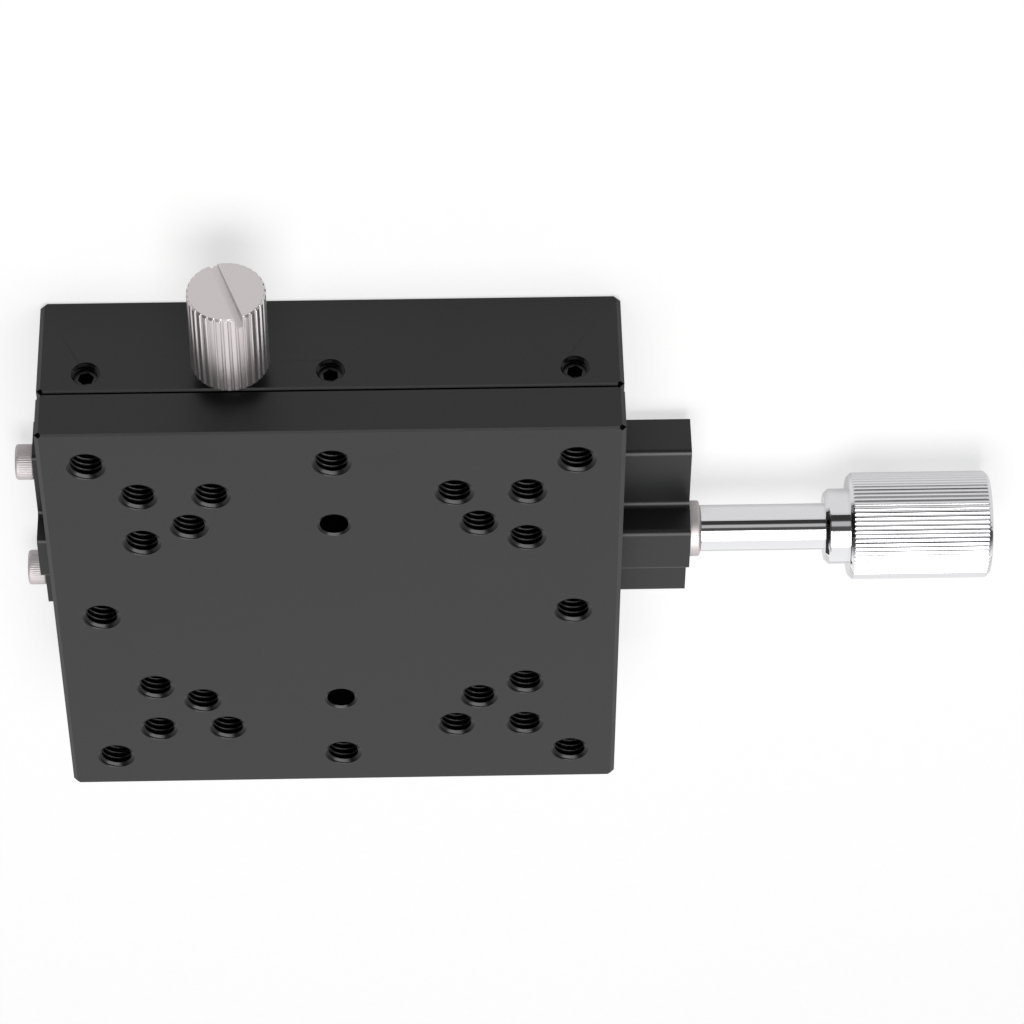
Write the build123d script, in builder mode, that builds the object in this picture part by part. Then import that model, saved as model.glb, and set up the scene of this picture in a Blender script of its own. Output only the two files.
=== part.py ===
from build123d import *

import os
from math import radians, sin, tan

os.makedirs("parts", exist_ok=True)

# A hand-driven dovetail slide. All lengths are in millimetres. X runs along the travel towards
# the knob, Y across it towards the clamping side, and Z up through the table. The origin is the
# middle of the base's underside.

# Stage
stage_length = 60.0
stage_width = 60.0
base_height = 12.2
split_gap = 0.2
plate_thickness = 5.6
travel = 20.0  # each way from the middle
corner_chamfer = 0.45
end_edge_chamfer = 0.45  # along Y, at both ends of the travel
side_edge_chamfer = 0.2  # along X
corner_relief = 0.9  # how far down a corner its small facet starts
cut_margin = 0.1  # how far a cutting shape runs past the face it opens

# Dovetail
dovetail_angle = 60.0
dovetail_width = 41.6  # across its foot
groove_depth = 5.8
slide_clearance = 0.02
foot_chamfer = 0.3

# Gib, pressed against the dovetail by its set screws
gib_thickness = 2.5
gib_back_gap = 0.15
gib_end_setback = 0.3
gib_top_setback = 0.4
gib_foot_gap = 0.1
gib_dimple_depth = 1.0
gib_screw_pitch = 25.0
gib_screw_drop = 2.4  # below the base's top
gib_screw_recess = 0.8
gib_point_radius = 0.75
gib_point_clearance = 0.05

# Tapped holes and key holes of the table
m4_tap_radius = 1.65
m4_blind_depth = 7.0
corner_pitch = 50.0
outer_pitch = 40.0
inner_pitch = 30.0
oblong_pitch = 25.0
key_hole_radius = 1.5

# Counterbored holes that fasten the base
base_bolt_pitch = 30.0  # across the travel, as the table's key holes
base_bolt_spread = 36.0  # along it
base_hole_radius = 1.7
base_bore_radius = 3.0
base_bore_depth = 3.3

# Small fasteners
m2_radius = 1.0
m2_through_radius = 1.1
m2_head_radius = 1.9
m2_head_height = 2.0
m2_socket = 1.5  # across flats
m2_socket_depth = 1.0
head_bore_fit = 0.05
m3_radius = 1.5
m3_tap_radius = 1.25
m3_socket = 1.5  # across flats
m3_socket_depth = 1.6
m3_mouth_chamfer = 0.25
screw_fit = 0.02
tap_run_out = 0.5
head_edge_chamfer = 0.2

# Lead screw
screw_rise = 0.65  # its axis above the groove's floor
screw_radius = 2.5
shoulder_radius = 3.5
shoulder_thickness = 0.9
journal_radius = 1.75
rear_journal_radius = 1.5
tail_radius = 1.5
rear_setback = 0.2
bearing_fit = 0.02
thread_fit = 0.05
face_gap = 0.02

# Lead nut
nut_wall = 0.9
nut_flange_width = 14.8
nut_flange_thickness = 2.1
nut_side_gap = 0.1
nut_end_gap = 0.33
nut_screw_inset = 2.75  # from the nut's ends
nut_screw_pitch_y = 10.8
nut_screw_length = 6.0
channel_gap = 0.5

# End pieces, which the table's legs and slot pass over
end_screw_pitch = 18.0
end_screw_drop = 2.4  # below the wings' top
block_screw_margin = 2.87
rear_screw_margin = 3.5
wing_gap = 0.1
raised_wall = 0.85
raised_roof = 0.9
roof_gap = 0.65
hat_round = 0.6
block_wing_height = 4.65
block_thickness = 7.8
block_screw_length = 10.0
block_bore_depth = 2.3
rear_wing_height = 5.0
rear_roof = 0.85
rear_plate_thickness = 2.0
rear_screw_length = 6.0

# Bushes and thrust washers
bush_wall = 0.53
rear_bush_wall = 0.58
inner_washer_thickness = 0.5
outer_washer_thickness = 1.1
outer_washer_radius = 3.0
outer_washer_round = 0.25

# Travel knob, one turned piece with its neck and collar
neck_radius = 2.5
collar_clearance = 2.3
collar_radius = 4.05
collar_length = 2.55
collar_round = 0.85
knob_radius = 5.75
knob_length = 15.25
knob_round = 0.8
knob_bore_depth = 7.6  # how far the screw's tail reaches into the knob itself
knob_end_clearance = 0.1
grub_radius = 1.25
grub_socket = 1.3  # across flats
grub_socket_depth = 1.2
grub_inset = 4.1
grub_length = 4.0

# Lock screw and the pad on its tip
lock_x = -10.15
lock_standoff = 1.5
lock_stroke = 0.25
lock_head_radius = 4.0
lock_head_length = 10.8
lock_head_chamfer = 0.2
lock_ridge_count = 33
lock_groove_radius = 0.22
lock_slot_width = 0.9
lock_slot_depth = 1.3
lock_slot_angle = 70.0  # from the travel, seen from the head
lock_fit = 0.03
lock_pad_radius = 1.4
lock_pad_length = 2.7
lock_pad_gap = 0.05
lock_dimple_fit = 0.15
lock_pin_radius = 0.6
lock_pin_length = 1.0
lock_pin_end_gap = 0.1

# Heights
table_bottom = base_height + split_gap
table_top = table_bottom + plate_thickness
groove_floor = base_height - groove_depth
leg_bottom = groove_floor + slide_clearance
wing_top = groove_floor - wing_gap
gib_screw_height = base_height - gib_screw_drop
end_screw_height = wing_top - end_screw_drop
block_foot = wing_top - block_wing_height
rear_foot = wing_top - rear_wing_height

# Lead-screw line
screw_height = groove_floor + screw_rise
bush_radius = journal_radius + bearing_fit + bush_wall
rear_bush_radius = rear_journal_radius + bearing_fit + rear_bush_wall
raised_half_width = bush_radius + raised_wall
raised_top = screw_height + bush_radius + raised_roof
rear_raised_top = screw_height + rear_bush_radius + rear_roof
slot_half_width = nut_flange_width / 2 + nut_side_gap
slot_roof = raised_top + roof_gap
nut_half_width = screw_radius + nut_wall
nut_flange_bottom = slot_roof - nut_flange_thickness
channel_half_width = max(shoulder_radius, nut_half_width) + channel_gap
channel_floor = screw_height - channel_half_width
block_width = end_screw_pitch + 2 * block_screw_margin
rear_width = end_screw_pitch + 2 * rear_screw_margin

# Places along X
end_face = stage_length / 2
shoulder_outer = end_face - inner_washer_thickness - face_gap
shoulder_inner = shoulder_outer - shoulder_thickness
nut_length = 2 * (shoulder_inner - travel - nut_end_gap)
nut_screw_pitch_x = nut_length - 2 * nut_screw_inset
block_face = end_face + block_thickness
outer_washer_face = block_face + outer_washer_thickness
neck_start = outer_washer_face + face_gap
collar_start = end_face + travel + collar_clearance
knob_start = collar_start + collar_length
tail_end = knob_start + knob_bore_depth
rear_face = -end_face - rear_plate_thickness
grub_x = knob_start + grub_inset

# Places along Y of the sloping dovetail faces
flank_slope = 1 / tan(radians(dovetail_angle))
flank_shift = slide_clearance / sin(radians(dovetail_angle))
gib_shift = gib_thickness / sin(radians(dovetail_angle))
gap_shift = gib_back_gap / sin(radians(dovetail_angle))


def flank(height):
    """Half width of the table's dovetail at a height above the base's underside."""
    return dovetail_width / 2 - (height - leg_bottom) * flank_slope


def gib_front(height):
    """Distance of the gib's running face from the middle."""
    return flank(height) + flank_shift


def gib_back(height):
    """Distance of the gib's back from the middle."""
    return gib_front(height) + gib_shift


side_face = stage_width / 2
dimple_floor = gib_back(gib_screw_height) - gib_dimple_depth
screw_tip = dimple_floor + face_gap
screw_end = side_face - gib_screw_recess
point_root = gib_back(gib_screw_height - m3_radius) + gib_back_gap
pad_inner = dimple_floor + lock_pad_gap + lock_stroke
pad_outer = pad_inner + lock_pad_length
lock_tip = pad_outer + face_gap
lock_head_start = side_face + lock_standoff
lock_head_end = lock_head_start + lock_head_length
gib_screw_points = [(step * gib_screw_pitch, gib_screw_height) for step in (-1, 0, 1)]
end_screw_points = [(side * end_screw_pitch / 2, end_screw_height) for side in (-1, 1)]


def side_plane(distance):
    """Plane across Y at a distance from the middle: X to its right, Z up, -Y along its normal."""
    return Plane.XZ.offset(-distance)


def end_plane(distance):
    """Plane across X at a distance from the middle, with Y to its right and Z up."""
    return Plane.YZ.offset(distance)


def ease_edges(block):
    """Chamfer the edges of a plate as long and wide as the stage, and cut facets at its corners."""
    chamfer(block.edges().filter_by(Axis.Z), corner_chamfer)
    for side in (-1, 0):
        chamfer(block.faces().sort_by(Axis.Z)[side].edges().filter_by(Axis.Y), end_edge_chamfer)
        chamfer(block.faces().sort_by(Axis.Z)[side].edges().filter_by(Axis.X), side_edge_chamfer)
    top = block.vertices().sort_by(Axis.Z)[-1].Z
    bottom = block.vertices().sort_by(Axis.Z)[0].Z
    for along in (-1, 1):
        for across in (-1, 1):
            for up, level in ((-1, bottom), (1, top)):
                start = (along * stage_length / 2, across * stage_width / 2, level - up * corner_relief)
                split(bisect_by=Plane(origin=start, z_dir=(along, across, up)), keep=Keep.BOTTOM)


def cap_screws(under_head, points, length, radius, head_radius, head_height, socket, socket_depth):
    """Socket-head cap screws: heads along the plane's normal, shanks behind it."""
    with BuildPart() as screws:
        with BuildSketch(under_head):
            with Locations(*points):
                Circle(head_radius)
        extrude(amount=head_height)
        outer_axis = Axis(under_head.origin, under_head.z_dir)
        chamfer(screws.edges().filter_by(GeomType.CIRCLE).group_by(outer_axis)[-1], head_edge_chamfer)
        with BuildSketch(under_head):
            with Locations(*points):
                Circle(radius)
        extrude(amount=-length)
        with BuildSketch(under_head.offset(head_height)):
            with Locations(*points):
                RegularPolygon(socket / 2, 6, major_radius=False)
        extrude(amount=-socket_depth, mode=Mode.SUBTRACT)
    return screws


def hat_outline(plane, width, foot, top):
    """Outline of an end piece: low wings below the legs, and a raised middle for the table's slot."""
    with BuildSketch(plane) as outline:
        with Locations((0, (foot + wing_top) / 2)):
            Rectangle(width, wing_top - foot)
        with Locations((0, (foot + top) / 2)):
            Rectangle(2 * raised_half_width, top - foot)
        shoulders = outline.vertices().group_by(Axis.Y)[1].sort_by(Axis.X)
        fillet(shoulders[1:3], hat_round)
        shoulders = outline.vertices().group_by(Axis.Y)
        crown = shoulders[-1]
        wing_ends = outline.vertices().group_by(Axis.X)
        wing_tips = [wing_ends[0].sort_by(Axis.Y)[-1], wing_ends[-1].sort_by(Axis.Y)[-1]]
        fillet(list(crown) + wing_tips, hat_round)
    return outline.sketch


# Base: a block with the female dovetail groove, the screw's channel and the clamping side wall
with BuildPart() as base:
    with BuildSketch():
        Rectangle(stage_length, stage_width)
    extrude(amount=base_height)
    ease_edges(base)
    with BuildSketch(Plane.YZ):
        with BuildLine():
            Polyline(
                (-gib_front(groove_floor), groove_floor),
                (gib_back(groove_floor) + gap_shift, groove_floor),
                (gib_back(base_height + cut_margin) + gap_shift, base_height + cut_margin),
                (-gib_front(base_height + cut_margin), base_height + cut_margin),
                close=True,
            )
        make_face()
    extrude(amount=stage_length, both=True, mode=Mode.SUBTRACT)
    with BuildSketch(Plane.YZ):
        with Locations((0, (channel_floor + groove_floor + cut_margin) / 2)):
            Rectangle(2 * channel_half_width, groove_floor + cut_margin - channel_floor)
    extrude(amount=stage_length, both=True, mode=Mode.SUBTRACT)
    # Counterbored fixing holes in the floor of the groove
    with Locations((0, 0, groove_floor)):
        with GridLocations(base_bolt_spread, base_bolt_pitch, 2, 2):
            CounterBoreHole(base_hole_radius, base_bore_radius, base_bore_depth)
    # Gib-screw holes: full thread round the screws, and an open mouth outside them
    with BuildSketch(side_plane(screw_end + screw_fit)):
        with Locations(*gib_screw_points):
            Circle(m3_radius + screw_fit)
    extrude(amount=screw_end - point_root + 2 * m3_radius, mode=Mode.SUBTRACT)
    with BuildSketch(side_plane(side_face)):
        with Locations(*gib_screw_points):
            Circle(m3_tap_radius)
    extrude(amount=side_face - screw_end, mode=Mode.SUBTRACT)
    with BuildSketch(side_plane(side_face)):
        with Locations((lock_x, gib_screw_height)):
            Circle(m3_radius + lock_fit)
    extrude(amount=side_face - point_root + 2 * m3_radius, mode=Mode.SUBTRACT)
    chamfer(base.edges().filter_by(GeomType.CIRCLE).group_by(Axis.Y)[-1], m3_mouth_chamfer)
    # Tapped holes for the end pieces
    with BuildSketch(end_plane(end_face)):
        with Locations(*end_screw_points):
            Circle(m2_radius + screw_fit)
    block_screw_grip = block_screw_length - block_thickness + block_bore_depth
    extrude(amount=-block_screw_grip - tap_run_out, mode=Mode.SUBTRACT)
    with BuildSketch(end_plane(-end_face)):
        with Locations(*end_screw_points):
            Circle(m2_radius + screw_fit)
    extrude(amount=rear_screw_length - rear_plate_thickness + tap_run_out, mode=Mode.SUBTRACT)
base.part.label = "base"
export_step(base.part, "parts/base.step")

# Table: the tapped plate with the male dovetail below it, split into two legs by a slot
with BuildPart() as table:
    with BuildSketch(Plane.XY.offset(table_bottom)):
        Rectangle(stage_length, stage_width)
    extrude(amount=plate_thickness)
    ease_edges(table)
    with BuildSketch(Plane.YZ) as dovetail:
        with BuildLine():
            Polyline(
                (-flank(leg_bottom), leg_bottom),
                (flank(leg_bottom), leg_bottom),
                (flank(table_bottom), table_bottom),
                (-flank(table_bottom), table_bottom),
                close=True,
            )
        make_face()
        chamfer(dovetail.vertices().group_by(Axis.Y)[0], foot_chamfer)
    extrude(amount=end_face, both=True)
    with BuildSketch(Plane.YZ):
        with Locations((0, (leg_bottom - cut_margin + slot_roof) / 2)):
            Rectangle(2 * slot_half_width, slot_roof - leg_bottom + cut_margin)
    extrude(amount=stage_length, both=True, mode=Mode.SUBTRACT)
    # Tapped holes through the plate beside the dovetail
    plate_depth = plate_thickness + cut_margin
    roof_depth = table_top - slot_roof + cut_margin
    leg_depth = table_top - leg_bottom + cut_margin
    with Locations((0, 0, table_top)):
        with GridLocations(corner_pitch, corner_pitch, 2, 2):
            Hole(m4_tap_radius, plate_depth)
        with GridLocations(corner_pitch, corner_pitch, 1, 2):
            Hole(m4_tap_radius, plate_depth)
        with GridLocations(outer_pitch, outer_pitch, 2, 2):
            Hole(m4_tap_radius, plate_depth)
        with GridLocations(oblong_pitch, outer_pitch, 2, 2):
            Hole(m4_tap_radius, plate_depth)
        # Tapped holes over the slot and the legs
        with GridLocations(corner_pitch, corner_pitch, 2, 1):
            Hole(m4_tap_radius, roof_depth)
        with GridLocations(outer_pitch, oblong_pitch, 2, 2):
            Hole(m4_tap_radius, m4_blind_depth)
        with GridLocations(inner_pitch, inner_pitch, 2, 2):
            Hole(m4_tap_radius, m4_blind_depth)
        # Plain holes that let a key through to the base's fixing screws
        with GridLocations(base_bolt_spread, base_bolt_pitch, 1, 2):
            Hole(key_hole_radius, leg_depth)
    # Tapped holes for the nut's screws
    with BuildSketch(Plane.XY.offset(slot_roof)):
        with GridLocations(nut_screw_pitch_x, nut_screw_pitch_y, 2, 2):
            Circle(m2_radius + screw_fit)
    extrude(amount=nut_screw_length - nut_flange_thickness + tap_run_out, mode=Mode.SUBTRACT)
table.part.label = "table"
export_step(table.part, "parts/table.step")

# Gib: a sloping strip between the dovetail's flank and the base's wall
with BuildPart() as gib_strip:
    gib_top = base_height - gib_top_setback
    gib_foot = groove_floor + gib_foot_gap
    with BuildSketch(Plane.YZ):
        with BuildLine():
            Polyline(
                (gib_front(gib_foot), gib_foot),
                (gib_back(gib_foot), gib_foot),
                (gib_back(gib_top), gib_top),
                (gib_front(gib_top), gib_top),
                close=True,
            )
        make_face()
    extrude(amount=end_face - gib_end_setback, both=True)
    with BuildSketch(side_plane(dimple_floor)):
        with Locations(*gib_screw_points):
            Circle(gib_point_radius + gib_point_clearance)
        with Locations((lock_x, gib_screw_height)):
            Circle(lock_pad_radius + lock_dimple_fit)
    extrude(amount=-gib_thickness * 2, mode=Mode.SUBTRACT)
gib_strip.part.label = "gib_strip"
export_step(gib_strip.part, "parts/gib_strip.step")

# Gib set screws: dog-point screws that sit below the base's side face
with BuildPart() as gib_set_screws:
    with BuildSketch(side_plane(screw_end)):
        with Locations(*gib_screw_points):
            Circle(m3_radius)
    extrude(amount=screw_end - point_root)
    with BuildSketch(side_plane(screw_end)):
        with Locations(*gib_screw_points):
            Circle(gib_point_radius)
    extrude(amount=screw_end - screw_tip)
    with BuildSketch(side_plane(screw_end)):
        with Locations(*gib_screw_points):
            RegularPolygon(m3_socket / 2, 6, major_radius=False)
    extrude(amount=m3_socket_depth, mode=Mode.SUBTRACT)
gib_set_screws.part.label = "gib_set_screws"
export_step(gib_set_screws.part, "parts/gib_set_screws.step")

# Bearing block at the knob end
block_outline = hat_outline(end_plane(end_face), block_width, block_foot, raised_top)
with BuildPart() as bearing_block:
    extrude(block_outline, amount=block_thickness)
    with BuildSketch(end_plane(end_face)):
        with Locations((0, screw_height)):
            Circle(bush_radius)
    extrude(amount=block_thickness, mode=Mode.SUBTRACT)
    with BuildSketch(end_plane(end_face)):
        with Locations(*end_screw_points):
            Circle(m2_through_radius)
    extrude(amount=block_thickness, mode=Mode.SUBTRACT)
    with BuildSketch(end_plane(block_face)):
        with Locations(*end_screw_points):
            Circle(m2_head_radius + head_bore_fit)
    extrude(amount=-block_bore_depth, mode=Mode.SUBTRACT)
bearing_block.part.label = "bearing_block"
export_step(bearing_block.part, "parts/bearing_block.step")

# Screws of the bearing block, sunk in its counterbores
bearing_block_screws = cap_screws(
    end_plane(block_face - block_bore_depth),
    end_screw_points,
    block_screw_length,
    m2_radius,
    m2_head_radius,
    m2_head_height,
    m2_socket,
    m2_socket_depth,
)
bearing_block_screws.part.label = "bearing_block_screws"
export_step(bearing_block_screws.part, "parts/bearing_block_screws.step")

# Bush pressed into the bearing block
with BuildPart() as front_bush:
    with BuildSketch(end_plane(end_face)):
        with Locations((0, screw_height)):
            Circle(bush_radius)
            Circle(journal_radius + bearing_fit, mode=Mode.SUBTRACT)
    extrude(amount=block_thickness)
front_bush.part.label = "front_bush"
export_step(front_bush.part, "parts/front_bush.step")

# Thrust washer between the screw's shoulder and the bearing block
with BuildPart() as inner_thrust_washer:
    with BuildSketch(end_plane(end_face)):
        with Locations((0, screw_height)):
            Circle(shoulder_radius)
            Circle(journal_radius + bearing_fit, mode=Mode.SUBTRACT)
    extrude(amount=-inner_washer_thickness)
inner_thrust_washer.part.label = "inner_thrust_washer"
export_step(inner_thrust_washer.part, "parts/inner_thrust_washer.step")

# Thrust washer between the bearing block and the knob's neck
with BuildPart() as outer_thrust_washer:
    with BuildSketch(end_plane(block_face)):
        with Locations((0, screw_height)):
            Circle(outer_washer_radius)
            Circle(journal_radius + bearing_fit, mode=Mode.SUBTRACT)
    extrude(amount=outer_washer_thickness)
    fillet(outer_thrust_washer.faces().sort_by(Axis.X)[-1].outer_wire().edges(), outer_washer_round)
outer_thrust_washer.part.label = "outer_thrust_washer"
export_step(outer_thrust_washer.part, "parts/outer_thrust_washer.step")

# Rear end plate, which closes the channel and carries the screw's rear journal
rear_outline = hat_outline(end_plane(rear_face), rear_width, rear_foot, rear_raised_top)
with BuildPart() as rear_end_plate:
    extrude(rear_outline, amount=rear_plate_thickness)
    with BuildSketch(end_plane(rear_face)):
        with Locations((0, screw_height)):
            Circle(rear_bush_radius)
        with Locations(*end_screw_points):
            Circle(m2_through_radius)
    extrude(amount=rear_plate_thickness, mode=Mode.SUBTRACT)
rear_end_plate.part.label = "rear_end_plate"
export_step(rear_end_plate.part, "parts/rear_end_plate.step")

# Screws of the rear plate, with their heads proud of it
rear_plate_screws = cap_screws(
    Plane(origin=(rear_face, 0, 0), x_dir=(0, 1, 0), z_dir=(-1, 0, 0)),
    [(across, -height) for across, height in end_screw_points],
    rear_screw_length,
    m2_radius,
    m2_head_radius,
    m2_head_height,
    m2_socket,
    m2_socket_depth,
)
rear_plate_screws.part.label = "rear_plate_screws"
export_step(rear_plate_screws.part, "parts/rear_plate_screws.step")

# Bush pressed into the rear plate
with BuildPart() as rear_bush:
    with BuildSketch(end_plane(rear_face)):
        with Locations((0, screw_height)):
            Circle(rear_bush_radius)
            Circle(rear_journal_radius + bearing_fit, mode=Mode.SUBTRACT)
    extrude(amount=rear_plate_thickness)
rear_bush.part.label = "rear_bush"
export_step(rear_bush.part, "parts/rear_bush.step")

# Lead screw: rear journal, thread, shoulder, front journal and the tail that the knob grips
with BuildPart() as lead_screw:
    with BuildSketch(Plane.XZ):
        with BuildLine():
            Polyline(
                (rear_face + rear_setback, screw_height),
                (rear_face + rear_setback, screw_height + rear_journal_radius),
                (-end_face + face_gap, screw_height + rear_journal_radius),
                (-end_face + face_gap, screw_height + screw_radius),
                (shoulder_inner, screw_height + screw_radius),
                (shoulder_inner, screw_height + shoulder_radius),
                (shoulder_outer, screw_height + shoulder_radius),
                (shoulder_outer, screw_height + journal_radius),
                (neck_start, screw_height + journal_radius),
                (neck_start, screw_height + tail_radius),
                (tail_end, screw_height + tail_radius),
                (tail_end, screw_height),
                close=True,
            )
        make_face()
    revolve(axis=Axis((0, 0, screw_height), (1, 0, 0)))
lead_screw.part.label = "lead_screw"
export_step(lead_screw.part, "parts/lead_screw.step")

# Lead nut: a tee whose flange is screwed to the slot's roof and whose web reaches into the channel
with BuildPart() as lead_nut:
    with BuildSketch(Plane.YZ):
        with Locations((0, slot_roof - nut_flange_thickness / 2)):
            Rectangle(nut_flange_width, nut_flange_thickness)
        with Locations((0, (slot_roof + screw_height - nut_half_width) / 2)):
            Rectangle(2 * nut_half_width, slot_roof - screw_height + nut_half_width)
        with Locations((0, screw_height)):
            Circle(screw_radius + thread_fit, mode=Mode.SUBTRACT)
    extrude(amount=nut_length / 2, both=True)
    with BuildSketch(Plane.XY.offset(slot_roof)):
        with GridLocations(nut_screw_pitch_x, nut_screw_pitch_y, 2, 2):
            Circle(m2_through_radius)
    extrude(amount=-nut_flange_thickness, mode=Mode.SUBTRACT)
lead_nut.part.label = "lead_nut"
export_step(lead_nut.part, "parts/lead_nut.step")

# Screws of the lead nut, put in from below
lead_nut_screws = cap_screws(
    Plane(origin=(0, 0, nut_flange_bottom), x_dir=(1, 0, 0), z_dir=(0, 0, -1)),
    [(x * nut_screw_pitch_x / 2, y * nut_screw_pitch_y / 2) for x in (-1, 1) for y in (-1, 1)],
    nut_screw_length,
    m2_radius,
    m2_head_radius,
    m2_head_height,
    m2_socket,
    m2_socket_depth,
)
lead_nut_screws.part.label = "lead_nut_screws"
export_step(lead_nut_screws.part, "parts/lead_nut_screws.step")

# Travel knob: neck, collar and grip in one piece, bored for the screw's tail
with BuildPart() as travel_knob:
    with BuildSketch(end_plane(neck_start)):
        with Locations((0, screw_height)):
            Circle(neck_radius)
    extrude(amount=collar_start - neck_start)
    with BuildSketch(end_plane(collar_start)):
        with Locations((0, screw_height)):
            Circle(collar_radius)
    extrude(amount=collar_length)
    with BuildSketch(end_plane(knob_start)):
        with Locations((0, screw_height)):
            Circle(knob_radius)
    extrude(amount=knob_length)
    rims = travel_knob.edges().filter_by(GeomType.CIRCLE).group_by(SortBy.RADIUS)
    fillet(rims[-1], knob_round)
    rims = travel_knob.edges().filter_by(GeomType.CIRCLE)
    fillet(rims.group_by(Axis.X)[1].sort_by(SortBy.RADIUS)[-1], collar_round)
    with BuildSketch(end_plane(neck_start)):
        with Locations((0, screw_height)):
            Circle(tail_radius + bearing_fit)
    extrude(amount=tail_end - neck_start + knob_end_clearance, mode=Mode.SUBTRACT)
    with BuildSketch(Plane.XY.offset(screw_height - knob_radius)):
        with Locations((grub_x, 0)):
            Circle(grub_radius + screw_fit)
    extrude(amount=knob_radius, mode=Mode.SUBTRACT)
travel_knob.part.label = "travel_knob"
export_step(travel_knob.part, "parts/travel_knob.step")

# Grub screw that holds the knob on the screw's tail
with BuildPart() as knob_grub_screw:
    grub_top = screw_height - tail_radius - face_gap
    with BuildSketch(Plane.XY.offset(grub_top)):
        with Locations((grub_x, 0)):
            Circle(grub_radius)
    extrude(amount=-grub_length)
    with BuildSketch(Plane.XY.offset(grub_top - grub_length)):
        with Locations((grub_x, 0)):
            RegularPolygon(grub_socket / 2, 6, major_radius=False)
    extrude(amount=grub_socket_depth, mode=Mode.SUBTRACT)
knob_grub_screw.part.label = "knob_grub_screw"
export_step(knob_grub_screw.part, "parts/knob_grub_screw.step")

# Lock screw: ridged head with a cross slot, threaded shank and the pin that holds the pad
with BuildPart() as lock_thumb_screw:
    with BuildSketch(side_plane(lock_head_start)):
        with Locations((lock_x, gib_screw_height)):
            Circle(lock_head_radius)
    extrude(amount=-lock_head_length)
    chamfer(lock_thumb_screw.edges().filter_by(GeomType.CIRCLE), lock_head_chamfer)
    with BuildSketch(side_plane(lock_head_start)):
        with Locations((lock_x, gib_screw_height)):
            with PolarLocations(lock_head_radius, lock_ridge_count):
                Circle(lock_groove_radius)
    extrude(amount=-lock_head_length, mode=Mode.SUBTRACT)
    with BuildSketch(side_plane(lock_head_end)):
        with Locations(Location((lock_x, gib_screw_height, 0), (0, 0, lock_slot_angle))):
            Rectangle(3 * lock_head_radius, lock_slot_width)
    extrude(amount=lock_slot_depth, mode=Mode.SUBTRACT)
    with BuildSketch(side_plane(lock_head_start)):
        with Locations((lock_x, gib_screw_height)):
            Circle(m3_radius)
    extrude(amount=lock_head_start - lock_tip)
    with BuildSketch(side_plane(lock_tip)):
        with Locations((lock_x, gib_screw_height)):
            Circle(lock_pin_radius)
    extrude(amount=lock_pin_length)
lock_thumb_screw.part.label = "lock_thumb_screw"
export_step(lock_thumb_screw.part, "parts/lock_thumb_screw.step")

# Pad between the lock screw and the gib
with BuildPart() as lock_pad:
    with BuildSketch(side_plane(pad_outer)):
        with Locations((lock_x, gib_screw_height)):
            Circle(lock_pad_radius)
    extrude(amount=lock_pad_length)
    with BuildSketch(side_plane(pad_outer)):
        with Locations((lock_x, gib_screw_height)):
            Circle(lock_pin_radius + lock_fit)
    extrude(amount=lock_pin_length + lock_pin_end_gap, mode=Mode.SUBTRACT)
lock_pad.part.label = "lock_pad"
export_step(lock_pad.part, "parts/lock_pad.step")
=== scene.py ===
"""Visual model of the dovetail slide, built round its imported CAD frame.

The row frame has its origin in the middle of the base's underside, +X along the travel towards
the knob, +Y towards the set screws and the lock screw, and +Z up through the table. Shapes are
worked out in millimetres and turned to metres when a piece is finished.
"""
import logging
import math
from collections.abc import Sequence
from dataclasses import dataclass, field
from enum import Enum
from functools import partial

import bmesh
import bpy
from mathutils import Matrix, Vector


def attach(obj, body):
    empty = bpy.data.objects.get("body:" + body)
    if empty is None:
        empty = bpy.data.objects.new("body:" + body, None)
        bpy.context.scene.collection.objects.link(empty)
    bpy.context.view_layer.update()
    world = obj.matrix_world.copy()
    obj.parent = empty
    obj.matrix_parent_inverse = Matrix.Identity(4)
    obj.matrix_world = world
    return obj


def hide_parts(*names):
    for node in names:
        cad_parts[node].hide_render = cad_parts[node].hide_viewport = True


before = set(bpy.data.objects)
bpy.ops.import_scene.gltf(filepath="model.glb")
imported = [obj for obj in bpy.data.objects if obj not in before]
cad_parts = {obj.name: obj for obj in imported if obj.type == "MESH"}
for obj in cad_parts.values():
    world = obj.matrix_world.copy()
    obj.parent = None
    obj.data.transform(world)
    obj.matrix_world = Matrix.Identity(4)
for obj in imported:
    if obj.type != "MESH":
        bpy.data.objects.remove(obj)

log = logging.getLogger("dovetail_slide")

MM = 0.001
MERGE_DISTANCE = 0.0005  # mm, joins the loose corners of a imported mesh
ON_AXIS = 1e-6  # mm, a radius below this is a point on the axis
EDGE_PLAY = 0.01  # mm, a run that reaches less far into a groove's range stays whole
CREASE = math.radians(28.0)  # edges that turn more than this stay sharp

# Sizes in mm that several pieces share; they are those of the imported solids.
STAGE_HALF = 30.0
TABLE_TOP = 18.0
SCREW_HEIGHT = 7.05
CLAMP_HEIGHT = 9.8
SET_SCREW_X = (-25.0, 0.0, 25.0)
END_SCREW_HEIGHT = 3.9
END_SCREW_HALF_PITCH = 9.0
NECK_START = 38.92

# Numbers of a tapped block's finishes, after the blasted one.
# the corner facets' near-black material with almost no sheen is a painted dark reflection
PAINTED_DARK_FACET = 1
TAPPED = 2

# Types of the nodes and sockets that several trees use.
MATH = "ShaderNodeMath"
RANGE = "ShaderNodeMapRange"
MIX = "ShaderNodeMix"
NOISE = "ShaderNodeTexNoise"
SPLIT = "ShaderNodeSeparateXYZ"
JOIN = "ShaderNodeCombineXYZ"
MOVE = "ShaderNodeMapping"
VECTOR = "ShaderNodeVectorMath"
FLOAT = "NodeSocketFloat"
WHITE = (1.0, 1.0, 1.0, 1.0)

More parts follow.
